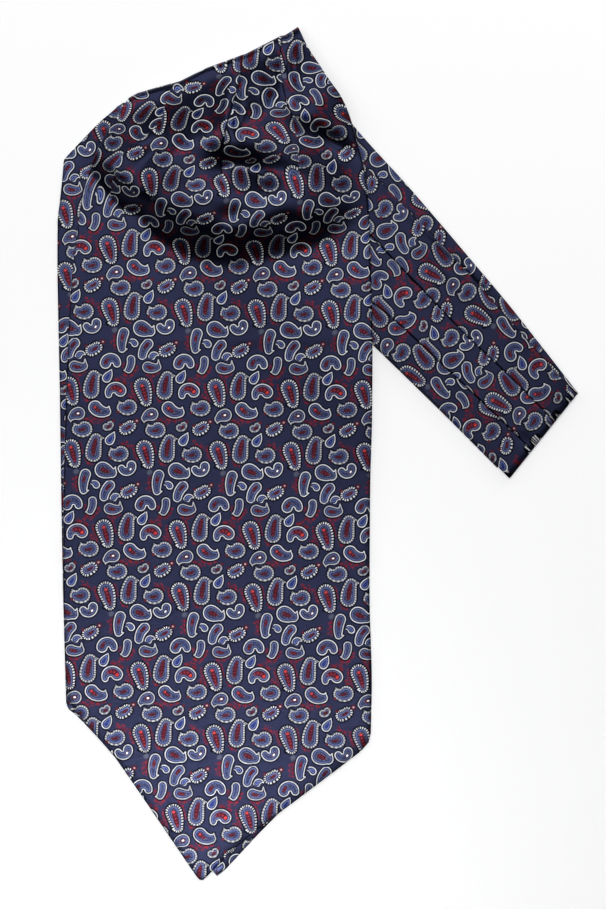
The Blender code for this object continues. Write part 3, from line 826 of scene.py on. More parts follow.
def band_rows(strip, base, wall, rolled, shift, stations):
    """Rows of one half of the neckband, from the blades to its far end."""
    across = strip.across(stations) - shift
    across_end = strip.across(np.array(1.0))
    end = band_end(across_end, wall, rolled)
    along = mix(band_start(across), end, stations[:, None])
    x, y = band_place(along, across)
    centre = np.stack([x, y, np.full(x.shape, base + wall / 2)], -1)
    normal = np.broadcast_to(np.array([0.0, 0.0, 1.0]), centre.shape)
    lift = strip.rise(stations) + (relief(along, across, BAND_CREASES) if rolled else 0.0)
    panel = np.array([column.panel for column in strip.columns])
    u = across + np.array([BAND_CLOTH[p].u for p in panel])
    v = -along + np.array([BAND_CLOTH[p].v for p in panel])
    rims = strip.rims()
    if rolled:
        turn = np.append(np.linspace(0.0, math.pi, BAND_ROLL_ROWS + 1)[1:], math.pi)[:, None]
        radius = base / 2
        reach = radius * np.sin(turn)
        reach[-1] = -RETURN
        x, y = band_place(end + reach, across_end)
        z = np.broadcast_to(wall / 2 + radius * (1 + np.cos(turn)), x.shape)
        out = np.sin(turn) / math.sqrt(2)
        facing = np.stack([out, -out, np.cos(turn)], -1)
        fade = 1 - ease(turn, math.pi * BAND_FADE_FROM, math.pi * BAND_FADE_TO)
        centre = np.concatenate([centre, np.stack([x, y, z], -1)])
        normal = np.concatenate([normal, np.broadcast_to(facing, x.shape + (3,))])
        lift = np.concatenate([lift, lift[-1] * fade])
        went = radius * turn
        went[-1] += RETURN
        u = np.concatenate([u, np.broadcast_to(u[-1], x.shape)])
        v = np.concatenate([v, v[-1] - went])
    thickness = wall * np.broadcast_to(rims, centre.shape[:2])
    return Rows(centre, normal, thickness, lift * rims, u, v)


print("rows round the band's own fold:", BAND_ROLL_ROWS + 1)

# %% Lay both halves of the band
BAND_STATIONS = spread((0.0, 0.35, 20), (0.35, 1.0001, 70))
upper_rows = band_rows(UPPER_STRIP, BAND_BASE, BAND_WALL, True, 0.0, BAND_STATIONS)
lower_rows = band_rows(LOWER_STRIP, 0.0, LOWER_WALL, False, LOWER_SHIFT, np.linspace(0.0, 1.0, 50))
print("band grids:", upper_rows.thickness.shape, lower_rows.thickness.shape)

# %% [markdown]
# ## Writing a material as sums
#
# A woven pattern is worked out from distances, and distances are sums, roots and angles. The small
# class below stands for one output of a node. Adding or multiplying two of them adds a Math node,
# so the pattern can be written as ordinary expressions. The same nodes could be placed by hand in
# the shader editor, but there are hundreds.

# %% A wire of the node tree


class Wire:
    """One output socket of a shader tree. Arithmetic on wires adds Math nodes."""

    def __init__(self, tree, socket):
        self.tree = tree
        self.socket = socket

    def node(self, kind, settings, values, out=0):
        """Add a node: its type, its settings, and the values or links of its sockets."""
        made = self.tree.nodes.new(kind)
        for name, value in settings.items():
            if name == "stops":
                lay_stops(made.color_ramp, value)
            else:
                setattr(made, name, value)
        for place, value in values.items():
            if isinstance(value, Wire):
                self.tree.links.new(value.socket, made.inputs[place])
            else:
                made.inputs[place].default_value = value
        return Wire(self.tree, made.outputs[out])

    def other(self, out):
        """Another output of the same node."""
        return Wire(self.tree, self.socket.node.outputs[out])

    def math(self, operation, *values):
        return self.node("ShaderNodeMath", {"operation": operation}, dict(enumerate(values)))

    def vector(self, operation, *values, out=0):
        return self.node("ShaderNodeVectorMath", {"operation": operation}, dict(enumerate(values)), out)

    def __add__(self, value):
        return self.math("ADD", self, value)

    def __radd__(self, value):
        return self.math("ADD", value, self)

    def __sub__(self, value):
        return self.math("SUBTRACT", self, value)

    def __rsub__(self, value):
        return self.math("SUBTRACT", value, self)

    def __mul__(self, value):
        return self.math("MULTIPLY", self, value)

    def __rmul__(self, value):
        return self.math("MULTIPLY", value, self)

    def __truediv__(self, value):
        return self.math("DIVIDE", self, value)

    def parts(self):
        """The three parts of a vector."""
        split = self.node("ShaderNodeSeparateXYZ", {}, {0: self})
        return split, split.other(1), split.other(2)

    def below(self, limit, soft):
        """1 where the value is below the limit and 0 above it, with a soft edge."""
        return self.node("ShaderNodeMapRange", {"clamp": True},
                         {0: self, 1: limit - soft, 2: limit + soft, 3: 1.0, 4: 0.0})

    def blend(self, a, b):
        """The colour a where this mask is 0, and b where it is 1."""
        return self.node("ShaderNodeMix", {"data_type": "RGBA"}, {0: self, 6: a, 7: b}, 2)


print("a wire can:", [name for name in vars(Wire) if not name.startswith("_")])

# %% Ramps and colours


def lay_stops(ramp, stops):
    """Set a ramp to hold each stop's value up to the next stop."""
    ramp.interpolation = "CONSTANT"
    ramp.elements.remove(ramp.elements[1])
    for place, (position, value) in enumerate(stops):
        stop = ramp.elements[0] if place == 0 else ramp.elements.new(position)
        stop.position = position
        stop.color = value


def shown(red, green, blue):
    """A colour given as it shows on a screen, 0 to 255, as linear light."""
    return tuple(((c / 255 + 0.055) / 1.055) ** 2.4 if c > 10 else c / 255 / 12.92
                 for c in (red, green, blue)) + (1.0,)


print("a mid grey is", round(shown(128, 128, 128)[0], 3), "in linear light")

# %% [markdown]
# ## The paisley
#
# Paisley is an old ornament, a drop with a bent tip. Every motif here is the same simple figure: a
# disc that slides along an arc while its radius goes from the head's to the tail's, with a small
# pointed tip on the inner side of the tail. A long arc with a small tail gives a comma, a short one
# a teardrop, and two even ends a bean. The distance from that figure's outline is easy to work out,
# and all the drawing follows from it: a silver line, or a row of beads, along the outline, a paler
# line inside it, a red heart, and red sprigs beside it. A painted picture would blur close up, while
# a distance stays sharp at any size.

# %% Figures of the motifs
Figure = namedtuple("Figure", "head tail length bend tip_on tip_in")
FIGURES = {          # tip_on and tip_in: the tip's place from the tail's middle, onwards and inwards
    "beaded": Figure(4.1, 2.6, 7.8, 60.0, 0.6, 3.3),
    "dashed": Figure(4.0, 2.9, 7.4, 24.0, 1.7, 3.4),
    "tear": Figure(2.3, 0.3, 4.7, 20.0, 0.0, 0.0),
    "snail": Figure(3.8, 2.7, 3.7, 4.2, 2.5, 2.4),
    "hooked": Figure(4.0, 2.5, 4.8, 30.0, 1.0, 3.3),
    "swan": Figure(3.4, 2.3, 6.4, 5.8, 1.7, 2.4),
    "heart": Figure(2.4, 1.9, 7.4, 2.6, 0.0, 0.0),
    "tall": Figure(2.7, 1.9, 8.2, 16.0, 0.4, 2.5),
    "comma": Figure(1.8, 0.3, 3.8, 2.2, 0.0, 0.0),
    "bean": Figure(2.6, 2.2, 6.6, 9.0, 0.0, 0.0),
    "half": Figure(2.9, 2.7, 3.3, 6.0, 0.0, 0.0),
    "kidney": Figure(2.8, 2.0, 8.4, 2.9, 0.0, 0.0),
    "slender": Figure(2.1, 1.8, 5.4, 8.0, 1.5, 1.7),
    "tipped": Figure(2.8, 1.9, 4.9, 6.6, 1.7, 3.2),
    "ruby": Figure(3.0, 1.7, 8.5, 3.2, 0.0, 0.0),
    "ring": Figure(3.2, 1.8, 4.1, 7.0, 1.8, 1.3),
    "dim": Figure(1.8, 1.7, 2.8, 1.5, 0.0, 0.0),
    "flower": Figure(1.5, 1.5, 0.1, 9.0, 0.0, 0.0),
    "bud": Figure(0.9, 0.9, 0.1, 9.0, 0.0, 0.0),
    "blot": Figure(1.3, 1.2, 0.6, 9.0, 0.0, 0.0),
}
TIP_RADIUS = 0.3
TIP_ROOT = 0.58      # the tip springs from a disc of this share of the tail's radius,
ROOT_ON, ROOT_IN = 0.40, 0.13      # set off from the tail's middle by these shares of it


def tip_places(figure):
    """The middle of the tip's root and the tip, seen from the head with the arc starting to the right."""
    turn = figure.length / figure.bend
    tail = np.array([figure.bend * math.sin(turn), figure.bend * (1 - math.cos(turn))])
    on, inward = np.array([math.cos(turn), math.sin(turn)]), np.array([-math.sin(turn), math.cos(turn)])
    root = tail + figure.tail * (ROOT_ON * on + ROOT_IN * inward)
    tip = tail + figure.tip_on * on + figure.tip_in * inward if figure.tip_in else root + 0.01 * on
    return root, tip


def figure_box(figure):
    """Middle and half size of a figure, seen in the same way."""
    share = np.linspace(0.0, 1.0, 24)
    angle, radius = share * figure.length / figure.bend, mix(figure.head, figure.tail, share * share)
    tip = tip_places(figure)[1]
    x = np.append(figure.bend * np.sin(angle), tip[0])
    y = np.append(figure.bend * (1 - np.cos(angle)), tip[1])
    radius = np.append(radius, TIP_RADIUS)
    low = np.array([(x - radius).min(), (y - radius).min()])
    high = np.array([(x + radius).max(), (y + radius).max()])
    return (low + high) / 2, (high - low) / 2


print("figures:", {name: tuple(np.round(2 * figure_box(figure)[1], 1)) for name, figure in FIGURES.items()})

# %% How each figure is filled and what is beside it
Dress = namedtuple("Dress", "silver beads blue red core_at core_half core_width dot")
DRESS = {            # the core is an ellipse on the figure's arc, from its head
    "beaded": Dress(1.0, 1.0, 0.45, 0.90, 3.2, 4.8, 1.30, 0.0),
    "dashed": Dress(0.7, 0.8, 0.55, 0.30, 3.4, 4.6, 1.20, 0.0),
    "tear": Dress(1.0, 0.0, 1.00, 0.0, 0.0, 0.1, 0.1, 0.0),
    "snail": Dress(0.65, 0.7, 0.75, 0.15, 1.2, 2.0, 0.75, 0.0),
    "hooked": Dress(1.0, 0.0, 0.30, 0.40, 0.9, 2.6, 1.20, 0.0),
    "swan": Dress(1.0, 0.0, 0.40, 0.80, 0.8, 2.6, 1.00, 0.0),
    "heart": Dress(1.0, 0.0, 0.15, 0.20, 2.0, 1.4, 0.60, 1.0),
    "tall": Dress(0.9, 0.0, 0.35, 0.90, 2.4, 1.7, 0.80, 0.0),
    "comma": Dress(0.9, 0.0, 1.00, 0.0, 0.0, 0.1, 0.1, 0.0),
    "bean": Dress(0.9, 0.0, 0.65, 0.25, 1.2, 1.9, 0.80, 0.0),
    "half": Dress(1.0, 1.0, 0.90, 0.40, 2.0, 1.7, 0.70, 0.0),
    "kidney": Dress(1.0, 0.0, 0.25, 0.45, 1.0, 1.9, 0.80, 0.0),
    "slender": Dress(0.7, 0.0, 0.35, 0.0, 0.0, 0.1, 0.1, 0.0),
    "tipped": Dress(0.6, 0.0, 0.30, 0.55, 1.2, 1.9, 0.80, 0.0),
    "ruby": Dress(1.0, 0.0, 0.85, 1.0, 1.9, 3.5, 1.55, 0.0),
    "ring": Dress(0.65, 0.0, 0.25, 0.35, 0.2, 1.7, 1.10, 1.0),
    "dim": Dress(0.5, 0.5, 0.55, 0.15, 1.4, 1.4, 0.70, 0.0),
    "flower": Dress(0.0, 0.0, 0.0, 0.35, 0.0, 9.0, 1.50, 0.35),
    "bud": Dress(0.0, 0.0, 0.0, 0.45, 0.0, 9.0, 0.85, 0.0),
    "blot": Dress(0.0, 0.0, 0.0, 0.0, 0.0, 0.1, 0.1, 0.0),
}
Sprig = namedtuple("Sprig", "side start end")
NO_SPRIG = Sprig(0, 20.0, 21.0)
SPRIGS = {           # side 1 is the inner side of the arc, 2 both; start and end lie along the outline
    "beaded": Sprig(2, -2.6, 4.6),
    "dashed": Sprig(-1, -7.5, -1.2),
    "snail": Sprig(1, -6.4, -1.4),
    "swan": Sprig(-1, 1.2, 7.2),
    "tall": Sprig(-1, -1.0, 8.0),
    "slender": Sprig(2, 2.5, 9.0),
    "tipped": Sprig(-1, 0.0, 5.4),
    "ruby": Sprig(-1, 0.4, 3.6),
}
KINDS = list(FIGURES)


def kind_place(name):
    """Where a kind's values lie on a ramp that holds one stop for each kind."""
    return (KINDS.index(name) + 0.5) / len(KINDS)


print("figures with sprigs:", [name for name in KINDS if name in SPRIGS])

# %% [markdown]
# ## The repeat
#
# A half-drop repeat sets each next block of the pattern half a block to the side. The chart below is
# one block: each motif's kind, the middle of its head, the way in which its arc sets out from there,
# and whether it bends to the left or to the right. Distances are in millimetres from the middle of
# the first beaded drop. Blocks set straight below each other would be simpler, but the motifs would
# then stand in plain columns.

# %% The chart of one repeat
REPEAT_WIDTH, REPEAT_HEIGHT = 36.65, 70.9
SKEW = REPEAT_WIDTH / 2 / REPEAT_HEIGHT
LEFT, RIGHT = 1, -1
Motif = namedtuple("Motif", "kind x y heading bends")
CHART = (
    Motif("beaded", -0.4, 3.3, -70, RIGHT),
    Motif("dashed", 10.8, 0.3, 89, RIGHT),
    Motif("tear", 18.8, 7.0, 54, LEFT),
    Motif("snail", 24.6, 0.5, -150, RIGHT),
    Motif("hooked", 15.6, -7.6, -24, LEFT),
    Motif("heart", 29.9, -5.3, -80, RIGHT),
    Motif("tall", 7.0, -10.0, -111, LEFT),
    Motif("comma", 12.5, -15.3, 120, LEFT),
    Motif("bean", 19.2, -15.4, -137, LEFT),
    Motif("comma", 21.1, -21.7, 62, RIGHT),
    Motif("half", 27.5, -19.0, 15, LEFT),
    Motif("flower", 33.2, -14.6, 0, LEFT),
    Motif("bud", 24.9, -16.8, 0, LEFT),
    Motif("kidney", -2.0, -25.3, 82, RIGHT),
    Motif("slender", 10.7, -23.2, -83, RIGHT),
    Motif("tipped", 19.2, -27.0, -21, LEFT),
    Motif("tear", -1.3, -32.7, 54, LEFT),
    Motif("dashed", -9.0, -39.1, 89, RIGHT),
    Motif("ruby", 5.6, -38.9, 124, LEFT),
    Motif("beaded", 16.5, -36.5, -70, RIGHT),
    Motif("snail", 10.2, -47.1, -150, RIGHT),
    Motif("swan", -6.9, -47.4, -52, LEFT),
    Motif("ring", 21.5, -50.5, -168, LEFT),
    Motif("half", 8.1, -58.1, 15, LEFT),
    Motif("flower", 14.0, -53.9, 0, LEFT),
    Motif("bud", 5.8, -56.0, 0, LEFT),
    Motif("snail", 24.6, -58.3, -150, RIGHT),
    Motif("dim", -1.2, -57.1, -22, LEFT),
    Motif("bud", 2.4, -54.1, 0, LEFT),
    Motif("bud", 19.3, -1.7, 0, LEFT),
    Motif("bud", 4.6, -49.7, 0, LEFT),
    Motif("blot", 2.2, -8.8, 40, LEFT),
)


def motif_axes(motif):
    """The chart directions of a figure's own x and y."""
    angle = math.radians(motif.heading)
    return (np.array([math.cos(angle), math.sin(angle)]),
            motif.bends * np.array([-math.sin(angle), math.cos(angle)]))


def unskewed(direction):
    """A direction of the chart, for use on places whose blocks are set straight below each other."""
    return (direction[0], direction[1] - SKEW * direction[0], 0.0)


print("motifs in one repeat:", len(CHART))

# %% Which motif a place of the cloth belongs to
HALF_BLOCK = (REPEAT_WIDTH / 2, REPEAT_HEIGHT / 2, 1.0)


def nearest_motif(place):
    """Place in millimetres, as seen from the head of the motif it is nearest to, and its kind in z."""
    x, y, _ = place.parts()
    straight = place.node("ShaderNodeCombineXYZ", {}, {0: x + y * SKEW, 1: y})
    best, nearest = None, None
    for motif in CHART:
        right, up = motif_axes(motif)
        middle, half = figure_box(FIGURES[motif.kind])
        block = straight.vector("SUBTRACT", straight, (motif.x + SKEW * motif.y, motif.y, 0.0))
        block = block.vector("WRAP", block, HALF_BLOCK, tuple(-h for h in HALF_BLOCK))
        seen = place.node("ShaderNodeCombineXYZ", {}, {
            0: block.vector("DOT_PRODUCT", block, unskewed(right), out=1),
            1: block.vector("DOT_PRODUCT", block, unskewed(up), out=1),
            2: kind_place(motif.kind)})
        scaled = seen.vector("MULTIPLY_ADD", seen, (1 / half[0], 1 / half[1], 0.0),
                             (-middle[0] / half[0], -middle[1] / half[1], 0.0))
        size = scaled.vector("LENGTH", scaled, out=1)
        if best is None:
            best, nearest = size, seen
            continue
        closer = size.math("LESS_THAN", size, best)
        nearest = closer.node("ShaderNodeMix", {"data_type": "VECTOR"}, {0: closer, 4: nearest, 5: seen}, 1)
        best = size.math("MINIMUM", size, best)
    return nearest


BIAS = 20.0          # ramps hold no values below zero, so some are stored with this added


def kind_values(which, rows):
    """Up to four values of a kind, read from a ramp at the kind's place."""
    stops = [(place / len(KINDS), (*rows[name], 0.0, 0.0, 0.0)[:4]) for place, name in enumerate(KINDS)]
    ramp = which.node("ShaderNodeValToRGB", {"stops": stops}, {0: which})
    return (*ramp.parts(), ramp.other(1))


print("half of a block:", HALF_BLOCK[:2], "mm, stops on a ramp:", len(KINDS))

# %% The distance from a figure's outline
TIP_BLEND = 0.5      # how softly the tip grows out of the tail
Seen = namedtuple("Seen", "distance along aside spine away")


def figure_seen(seen, which):
    """Distance outside the outline, places along and beside the arc, and distance from the arc."""
    head, tail, length, bend = kind_values(which, FIGURES)
    x, y, _ = seen.parts()
    half_turn = length / bend * 0.5
    angle = x.math("WRAP", x.math("ARCTAN2", x, bend - y) - half_turn, math.pi, -math.pi)
    angle = angle.math("MINIMUM", angle.math("MAXIMUM", angle, -1 * half_turn), half_turn) + half_turn
    cos, sin = angle.math("COSINE", angle), angle.math("SINE", angle)
    dx, dy = x - bend * sin, y - bend * (1 - cos)
    forward, aside = dx * cos + dy * sin, dy * cos - dx * sin
    share = angle * bend / length
    radius = head + (tail - head) * share * share
    away = dx.math("SQRT", dx * dx + dy * dy)
    along = angle * bend + radius * forward.math("ARCTAN2", forward, aside.math("ABSOLUTE", aside))

    tips = {name: tip_places(figure) for name, figure in FIGURES.items()}
    rows = {name: tuple(BIAS + np.concatenate(places)) for name, places in tips.items()}
    root_x, root_y, tip_x, tip_y = kind_values(which, rows)
    way_x, way_y = tip_x - root_x, tip_y - root_y
    from_x, from_y = x + BIAS - root_x, y + BIAS - root_y
    reach = (from_x * way_x + from_y * way_y) / (way_x * way_x + way_y * way_y)
    reach = reach.math("MINIMUM", reach.math("MAXIMUM", reach, 0.0), 1.0)
    off_x, off_y = from_x - reach * way_x, from_y - reach * way_y
    root = tail * TIP_ROOT
    tip_distance = x.math("SQRT", off_x * off_x + off_y * off_y) - (root + (TIP_RADIUS - root) * reach)
    body_distance = away - radius
    distance = x.math("SMOOTH_MIN", body_distance, tip_distance, TIP_BLEND)
    on_tip = tip_distance.math("LESS_THAN", tip_distance, body_distance - 0.2)
    along = along + on_tip * reach * 3.0
    return Seen(distance, along, aside, angle * bend, away)


print("measures of a figure:", Seen._fields)

# %% [markdown]
# ## Colours of the silk
#
# The ground is a navy satin, whose long floats shine where they face the light and go nearly black
# where they turn away. That is closer to a dark metal than to paint, so the ground is nearly all
# metallic, and the silver, blue and red threads of the motifs less so. Sheen is made for the bloom of
# velvet and wool, which is brightest at the edges, and satin isn't.

# %% Colours of the threads
NAVY = shown(37, 40, 64)
NIGHT = shown(4, 4, 12)
SILVER = shown(242, 244, 250)
PERIWINKLE = shown(104, 116, 165)
SLATE = shown(35, 41, 72)
BLUE = shown(27, 39, 98)
RED = shown(126, 39, 51)
WINE = shown(60, 22, 34)
CORAL = shown(185, 59, 59)
ASH = shown(99, 94, 114)
HAZE = shown(75, 78, 94)
print("navy is", tuple(round(c, 4) for c in NAVY[:3]), "in linear light")

# %% Widths of the drawing
LINE = 0.48          # width of the silver outline
BEAD_LENGTH = 1.02   # how far a bead reaches inwards
BEAD_HALF = 0.25     # half width of a bead, as a share of their pitch,
BEAD_SOFT = 0.08     # and the softness of its sides
HALO = 0.70          # width of the dark edge outside the outline
SOFT = 0.09          # softness of every drawn edge
SPRIG_SOFT = 0.26    # and of the sprigs, which are only a few threads
BEAD_PITCH = 1.33
SPRIG_PITCH = 1.8
CORE_PITCH = 1.7     # distance of the knots in a red heart
SPRIG_LANES = ((1.35, 0.72), (2.8, 0.60))      # distance from the outline, and size of the dots
# Lines inside a figure: depth from the outline, how much deeper if it is beaded, half width, softness.
Inner = namedtuple("Inner", "depth beaded half soft")
GAP_LINE = Inner(LINE + 0.18, 0.32, 0.16, 0.10)
PALE_LINE = Inner(1.25, 0.45, 0.18, 0.14)
FINE_LINE = Inner(2.15, 0.40, 0.10, 0.14)
DEEP_BLUE = 1.2      # depth from which the bluest figures are filled with blue
SPECKLE_SOFT = 0.08
THREAD_SCALE, THREAD_SHARE = 1.5, 0.52                 # speckle of the fillings,
SPRIG_SCALE = 0.55                                     # and of the sprigs
HEART_RING, HEART_RING_HALF = 1.2, 0.16                # the ashen line round a heart
KNOT_SQUASH, KNOT_SIZE, KNOT_SOFT = 1.4, 0.42, 0.30    # the red knots in it,
SPARK_SQUASH, SPARK_SIZE, SPARK_SOFT = 2.5, 0.08, 0.07     # and the coral sparks on them
VIVID_TO, VIVID_SOFT = 0.6, 0.3                        # the reddest hearts start with coral
print("a bead is", BEAD_LENGTH, "mm long, and one comes every", BEAD_PITCH, "mm")

# %% Masks of the drawing


def wave(along, pitch):
    """Distance from the nearest of evenly spaced marks."""
    return along.math("PINGPONG", along, pitch / 2)


def near(value, middle, half, soft=SOFT):
    """1 where the value is within half of the middle."""
    off = value - middle
    return off.math("ABSOLUTE", off).below(half, soft)


def inner_line(depth, beads, line):
    """Mask of a line inside a figure."""
    return near(depth, line.depth + line.beaded * beads, line.half, line.soft)


def speckle(place, scale, threshold=0.5):
    """A noise of about one dot in each 1 / scale millimetres, from 0 to 1 round the threshold."""
    noise = place.node("ShaderNodeTexNoise", {"noise_dimensions": "3D"},
                       {"Vector": place, "Scale": scale, "Detail": 0.0})
    return 1 - noise.below(threshold, SPECKLE_SOFT)


print("inner lines lie at", [round(line.depth, 2) for line in (GAP_LINE, PALE_LINE, FINE_LINE)], "mm")

# %% Red sprigs beside the figures


def sprigs(which, figure, dots):
    """Mask of the red dots that stand beside some of the figures."""
    rows = {name: (sprig.side + 1.0, sprig.start + BIAS, sprig.end + BIAS)
            for name, sprig in ((name, SPRIGS.get(name, NO_SPRIG)) for name in KINDS)}
    side, start, end, _ = kind_values(which, rows)
    inner = figure.aside.math("GREATER_THAN", figure.aside, 0.0) * 2
    this_side, both = side.math("COMPARE", side, inner, 0.5), side.math("GREATER_THAN", side, 2.5)
    along = figure.along + BIAS
    window = along.math("GREATER_THAN", along, start) * along.math("LESS_THAN", along, end)
    window = window * side.math("MAXIMUM", this_side, both)
    spots = None
    for lane, size in SPRIG_LANES:
        across, mark = figure.distance - lane, wave(figure.along + lane * 0.7, SPRIG_PITCH)
        spot = (across * across + mark * mark).below(size * size, SPRIG_SOFT)
        spots = spot if spots is None else spots.math("MAXIMUM", spots, spot * dots)
    return spots * window


print("lanes of sprigs:", SPRIG_LANES)

# %% What fills a figure


def filling(figure, dress, core, place):
    """Colour inside the outline."""
    _, beads, blue, red = dress
    core_at, core_half, core_width, _ = core
    depth = -1 * figure.distance
    fill = (0.1 + blue * 0.6).blend(NAVY, SLATE)
    threads = speckle(place, THREAD_SCALE, THREAD_SHARE)
    fill = (threads * 0.16).blend(fill, PERIWINKLE)
    deep = depth.math("GREATER_THAN", depth, DEEP_BLUE)
    fill = (deep * blue.math("GREATER_THAN", blue, 0.95)).blend(fill, BLUE)
    pale = inner_line(depth, beads, PALE_LINE) * (0.5 + 0.4 * blue + 0.1 * threads)
    fine = inner_line(depth, beads, FINE_LINE) * threads * 0.4
    fill = (pale + fine).blend(fill, PERIWINKLE)
    fill = (inner_line(depth, beads, GAP_LINE) * 0.8).blend(fill, NIGHT)

    run = (figure.spine - core_at) / core_half
    width = figure.away / core_width
    size = run.math("SQRT", run * run + width * width)
    some = red.math("GREATER_THAN", red, 0.05)
    fill = (near(size, HEART_RING, HEART_RING_HALF, 0.1) * threads * some * 0.8).blend(fill, ASH)
    cell = wave(figure.spine, CORE_PITCH) * (2 / CORE_PITCH)
    knot = (cell * cell + width * width * KNOT_SQUASH).below(KNOT_SIZE, KNOT_SOFT)
    vivid = red.math("GREATER_THAN", red, 0.7) * figure.spine.below(VIVID_TO, VIVID_SOFT)
    heart = (knot * (0.25 + 0.75 * red) * (0.55 + 0.45 * threads)).blend(WINE, RED)
    spark = (cell * cell + width * width * SPARK_SQUASH).below(SPARK_SIZE, SPARK_SOFT) * threads
    heart = (spark * red * 0.6).blend(heart, CORAL)
    heart = (knot * vivid).blend(heart, CORAL)
    fill = (size.below(1.0, 0.12) * some).blend(fill, heart)
    return fill


print("knots in a beaded drop's heart:", round(2 * DRESS["beaded"].core_half / CORE_PITCH))

# %% The whole drawing


def drawn_silk(place):
    """Colour of the woven pattern, and the share of it that isn't ground, from places in millimetres."""
    seen = nearest_motif(place)
    which = seen.parts()[2]
    figure = figure_seen(seen, which)
    dress = kind_values(which, {name: row[:4] for name, row in DRESS.items()})
    core = kind_values(which, {name: row[4:] for name, row in DRESS.items()})
    silver, beads, _, _ = dress
    dot = core[3]

    dots = speckle(place, SPRIG_SCALE)
    colour = sprigs(which, figure, dots).blend(NAVY, (0.3 + dots * 0.3).blend(WINE, RED))
    halo = figure.distance.below(HALO, SOFT) * silver.math("MINIMUM", silver * 1.6, 1.0)
    colour = halo.blend(colour, NIGHT)
    body = figure.distance.below(-0.1, SOFT)
    colour = body.blend(colour, filling(figure, dress, core, place))
    haze = near(which, kind_place("blot"), 0.4 / len(KINDS), 0.01) * figure.distance.below(-0.2, 0.35)
    colour = haze.blend(colour, HAZE)
    off = figure.spine - core[0]
    spot = (off * off * 0.4 + figure.away * figure.away).below(0.18, 0.1)
    colour = (spot * dot).blend(colour, SILVER)

    reach = LINE + (BEAD_LENGTH - LINE) * beads
    inside = figure.distance + reach / 2
    edge = (inside.math("ABSOLUTE", inside) - reach / 2).below(0.0, SOFT)
    beaded = wave(figure.along, BEAD_PITCH).below(BEAD_PITCH * BEAD_HALF, BEAD_SOFT)
    line = edge * (1 - beads * (1 - beaded))
    colour = (body * beads * edge).blend(colour, NIGHT)
    colour = (line * silver).blend(colour, SILVER)
    return colour, body.math("MAXIMUM", body * 0.1, line * silver)


print("kinds of figure drawn:", len(KINDS))

# %% The silk's material
GROUND_METAL, MOTIF_METAL = 0.95, 0.72
GROUND_ROUGH, MOTIF_ROUGH = 0.36, 0.60
TWILL_PITCH, TWILL_RISE = 0.42, 0.02
PATTERN_RISE = 0.05                  # the floats of the motifs stand this far over the ground
CLOTH_TURN = math.radians(0.7)       # the blade is cut a little off the pattern's straight
FIRST_DROP = Place(-103.85, 70.9)    # where the front blade's first beaded drop lies


def silk_material(name, turn, origin, dim=0.0):
    """Woven silk. The pattern is turned and placed for one piece, and dim is a share of painted shade, which
    darkens the colour towards NIGHT where the floats run away from the light.
    """
    material = bpy.data.materials.new(name)
    material.use_nodes = True
    tree = material.node_tree
    shader = tree.nodes["Principled BSDF"]
    start = Wire(tree, None)
    cloth = start.node("ShaderNodeUVMap", {"uv_map": "cloth"}, {})
    millimetres = cloth.vector("MULTIPLY", cloth, (1 / MM, 1 / MM, 0.0))
    moved = cloth.vector("SUBTRACT", millimetres, (origin.x, origin.y, 0.0))
    place = cloth.node("ShaderNodeVectorRotate", {"rotation_type": "Z_AXIS"},
                       {"Vector": moved, "Angle": turn})
    colour, pattern = drawn_silk(place)
    # Painted shade: the whole colour is darkened towards NIGHT by the share dim, for the weaker sheen of
    # floats turned from the light.
    colour = place.node("ShaderNodeMix", {"data_type": "RGBA"}, {0: dim, 6: colour, 7: NIGHT}, 2)
    x, y, _ = place.parts()
    twill = wave(x + y, TWILL_PITCH) * (2 / TWILL_PITCH)
    height = twill * TWILL_RISE + pattern * PATTERN_RISE
    bump = start.node("ShaderNodeBump", {}, {"Strength": 0.5, "Distance": MM, "Height": height})
    metal = GROUND_METAL + pattern * (MOTIF_METAL - GROUND_METAL)
    rough = GROUND_ROUGH + pattern * (MOTIF_ROUGH - GROUND_ROUGH)
    for socket, wire in (("Base Color", colour), ("Metallic", metal), ("Roughness", rough), ("Normal", bump)):
        tree.links.new(wire.socket, shader.inputs[socket])
    print(name, "has", len(tree.nodes), "nodes")
    return material


def add_piece(node, strip, rows, material):
    """Make a piece's shell, and let it stand for its solid."""
    mesh = shell_mesh(node + "_silk", strip, rows)
    mesh.materials.append(material)
    piece = bpy.data.objects.new(node + "_silk", mesh)
    bpy.context.scene.collection.objects.link(piece)
    area = sum(polygon.area for polygon in mesh.polygons)
    print(piece.name, len(mesh.polygons), "faces,", round(area / 2, 4), "m2 of doubled cloth")
    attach(piece, BODY)
    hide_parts(node)
    return piece


blade_silk = silk_material("front_blade_silk", CLOTH_TURN, FIRST_DROP)
back_silk = silk_material("back_blade_silk", CLOTH_TURN, Place(-125.9, 88.7))
# The band's floats run at 45 degrees to the light, so its copy of the silk gets 0.16 of painted shade, a
# darker copy of the same material.
band_silk = silk_material("neckband_silk", 0.0, Place(0.0, 0.0), 0.16)
pieces = [
    add_piece("front_blade", FRONT_STRIP, front_rows, blade_silk),
    add_piece("back_blade", BACK_STRIP, back_rows, back_silk),
    add_piece("neckband_upper", UPPER_STRIP, upper_rows, band_silk),
    add_piece("neckband_lower", LOWER_STRIP, lower_rows, band_silk),
]

# %% [markdown]
# ## Slip stitches
#
# The edges of the blade and of the band are closed by hand, in silk of the ground's colour. A stitch
# is a short bar of thread that lies on the cloth. A Geometry Nodes tree sets one at every step along
# a path, and gives each a slightly different length. A loop in Python could copy bars too, but the
# tree's named sizes can be changed in one place. The paths are columns of the shells above.

# %% The tree that lays stitches along a path
STITCH_INPUTS = {"Pitch": 5.0 * MM, "Length": 2.0 * MM, "Thickness": 0.22 * MM, "Unevenness": 0.18}
STITCH_SEED = 11
STITCH_SEGMENTS, STITCH_RINGS = 6, 5
TWIST_PITCH = 0.3
THREAD_LIGHT = shown(58, 64, 96)


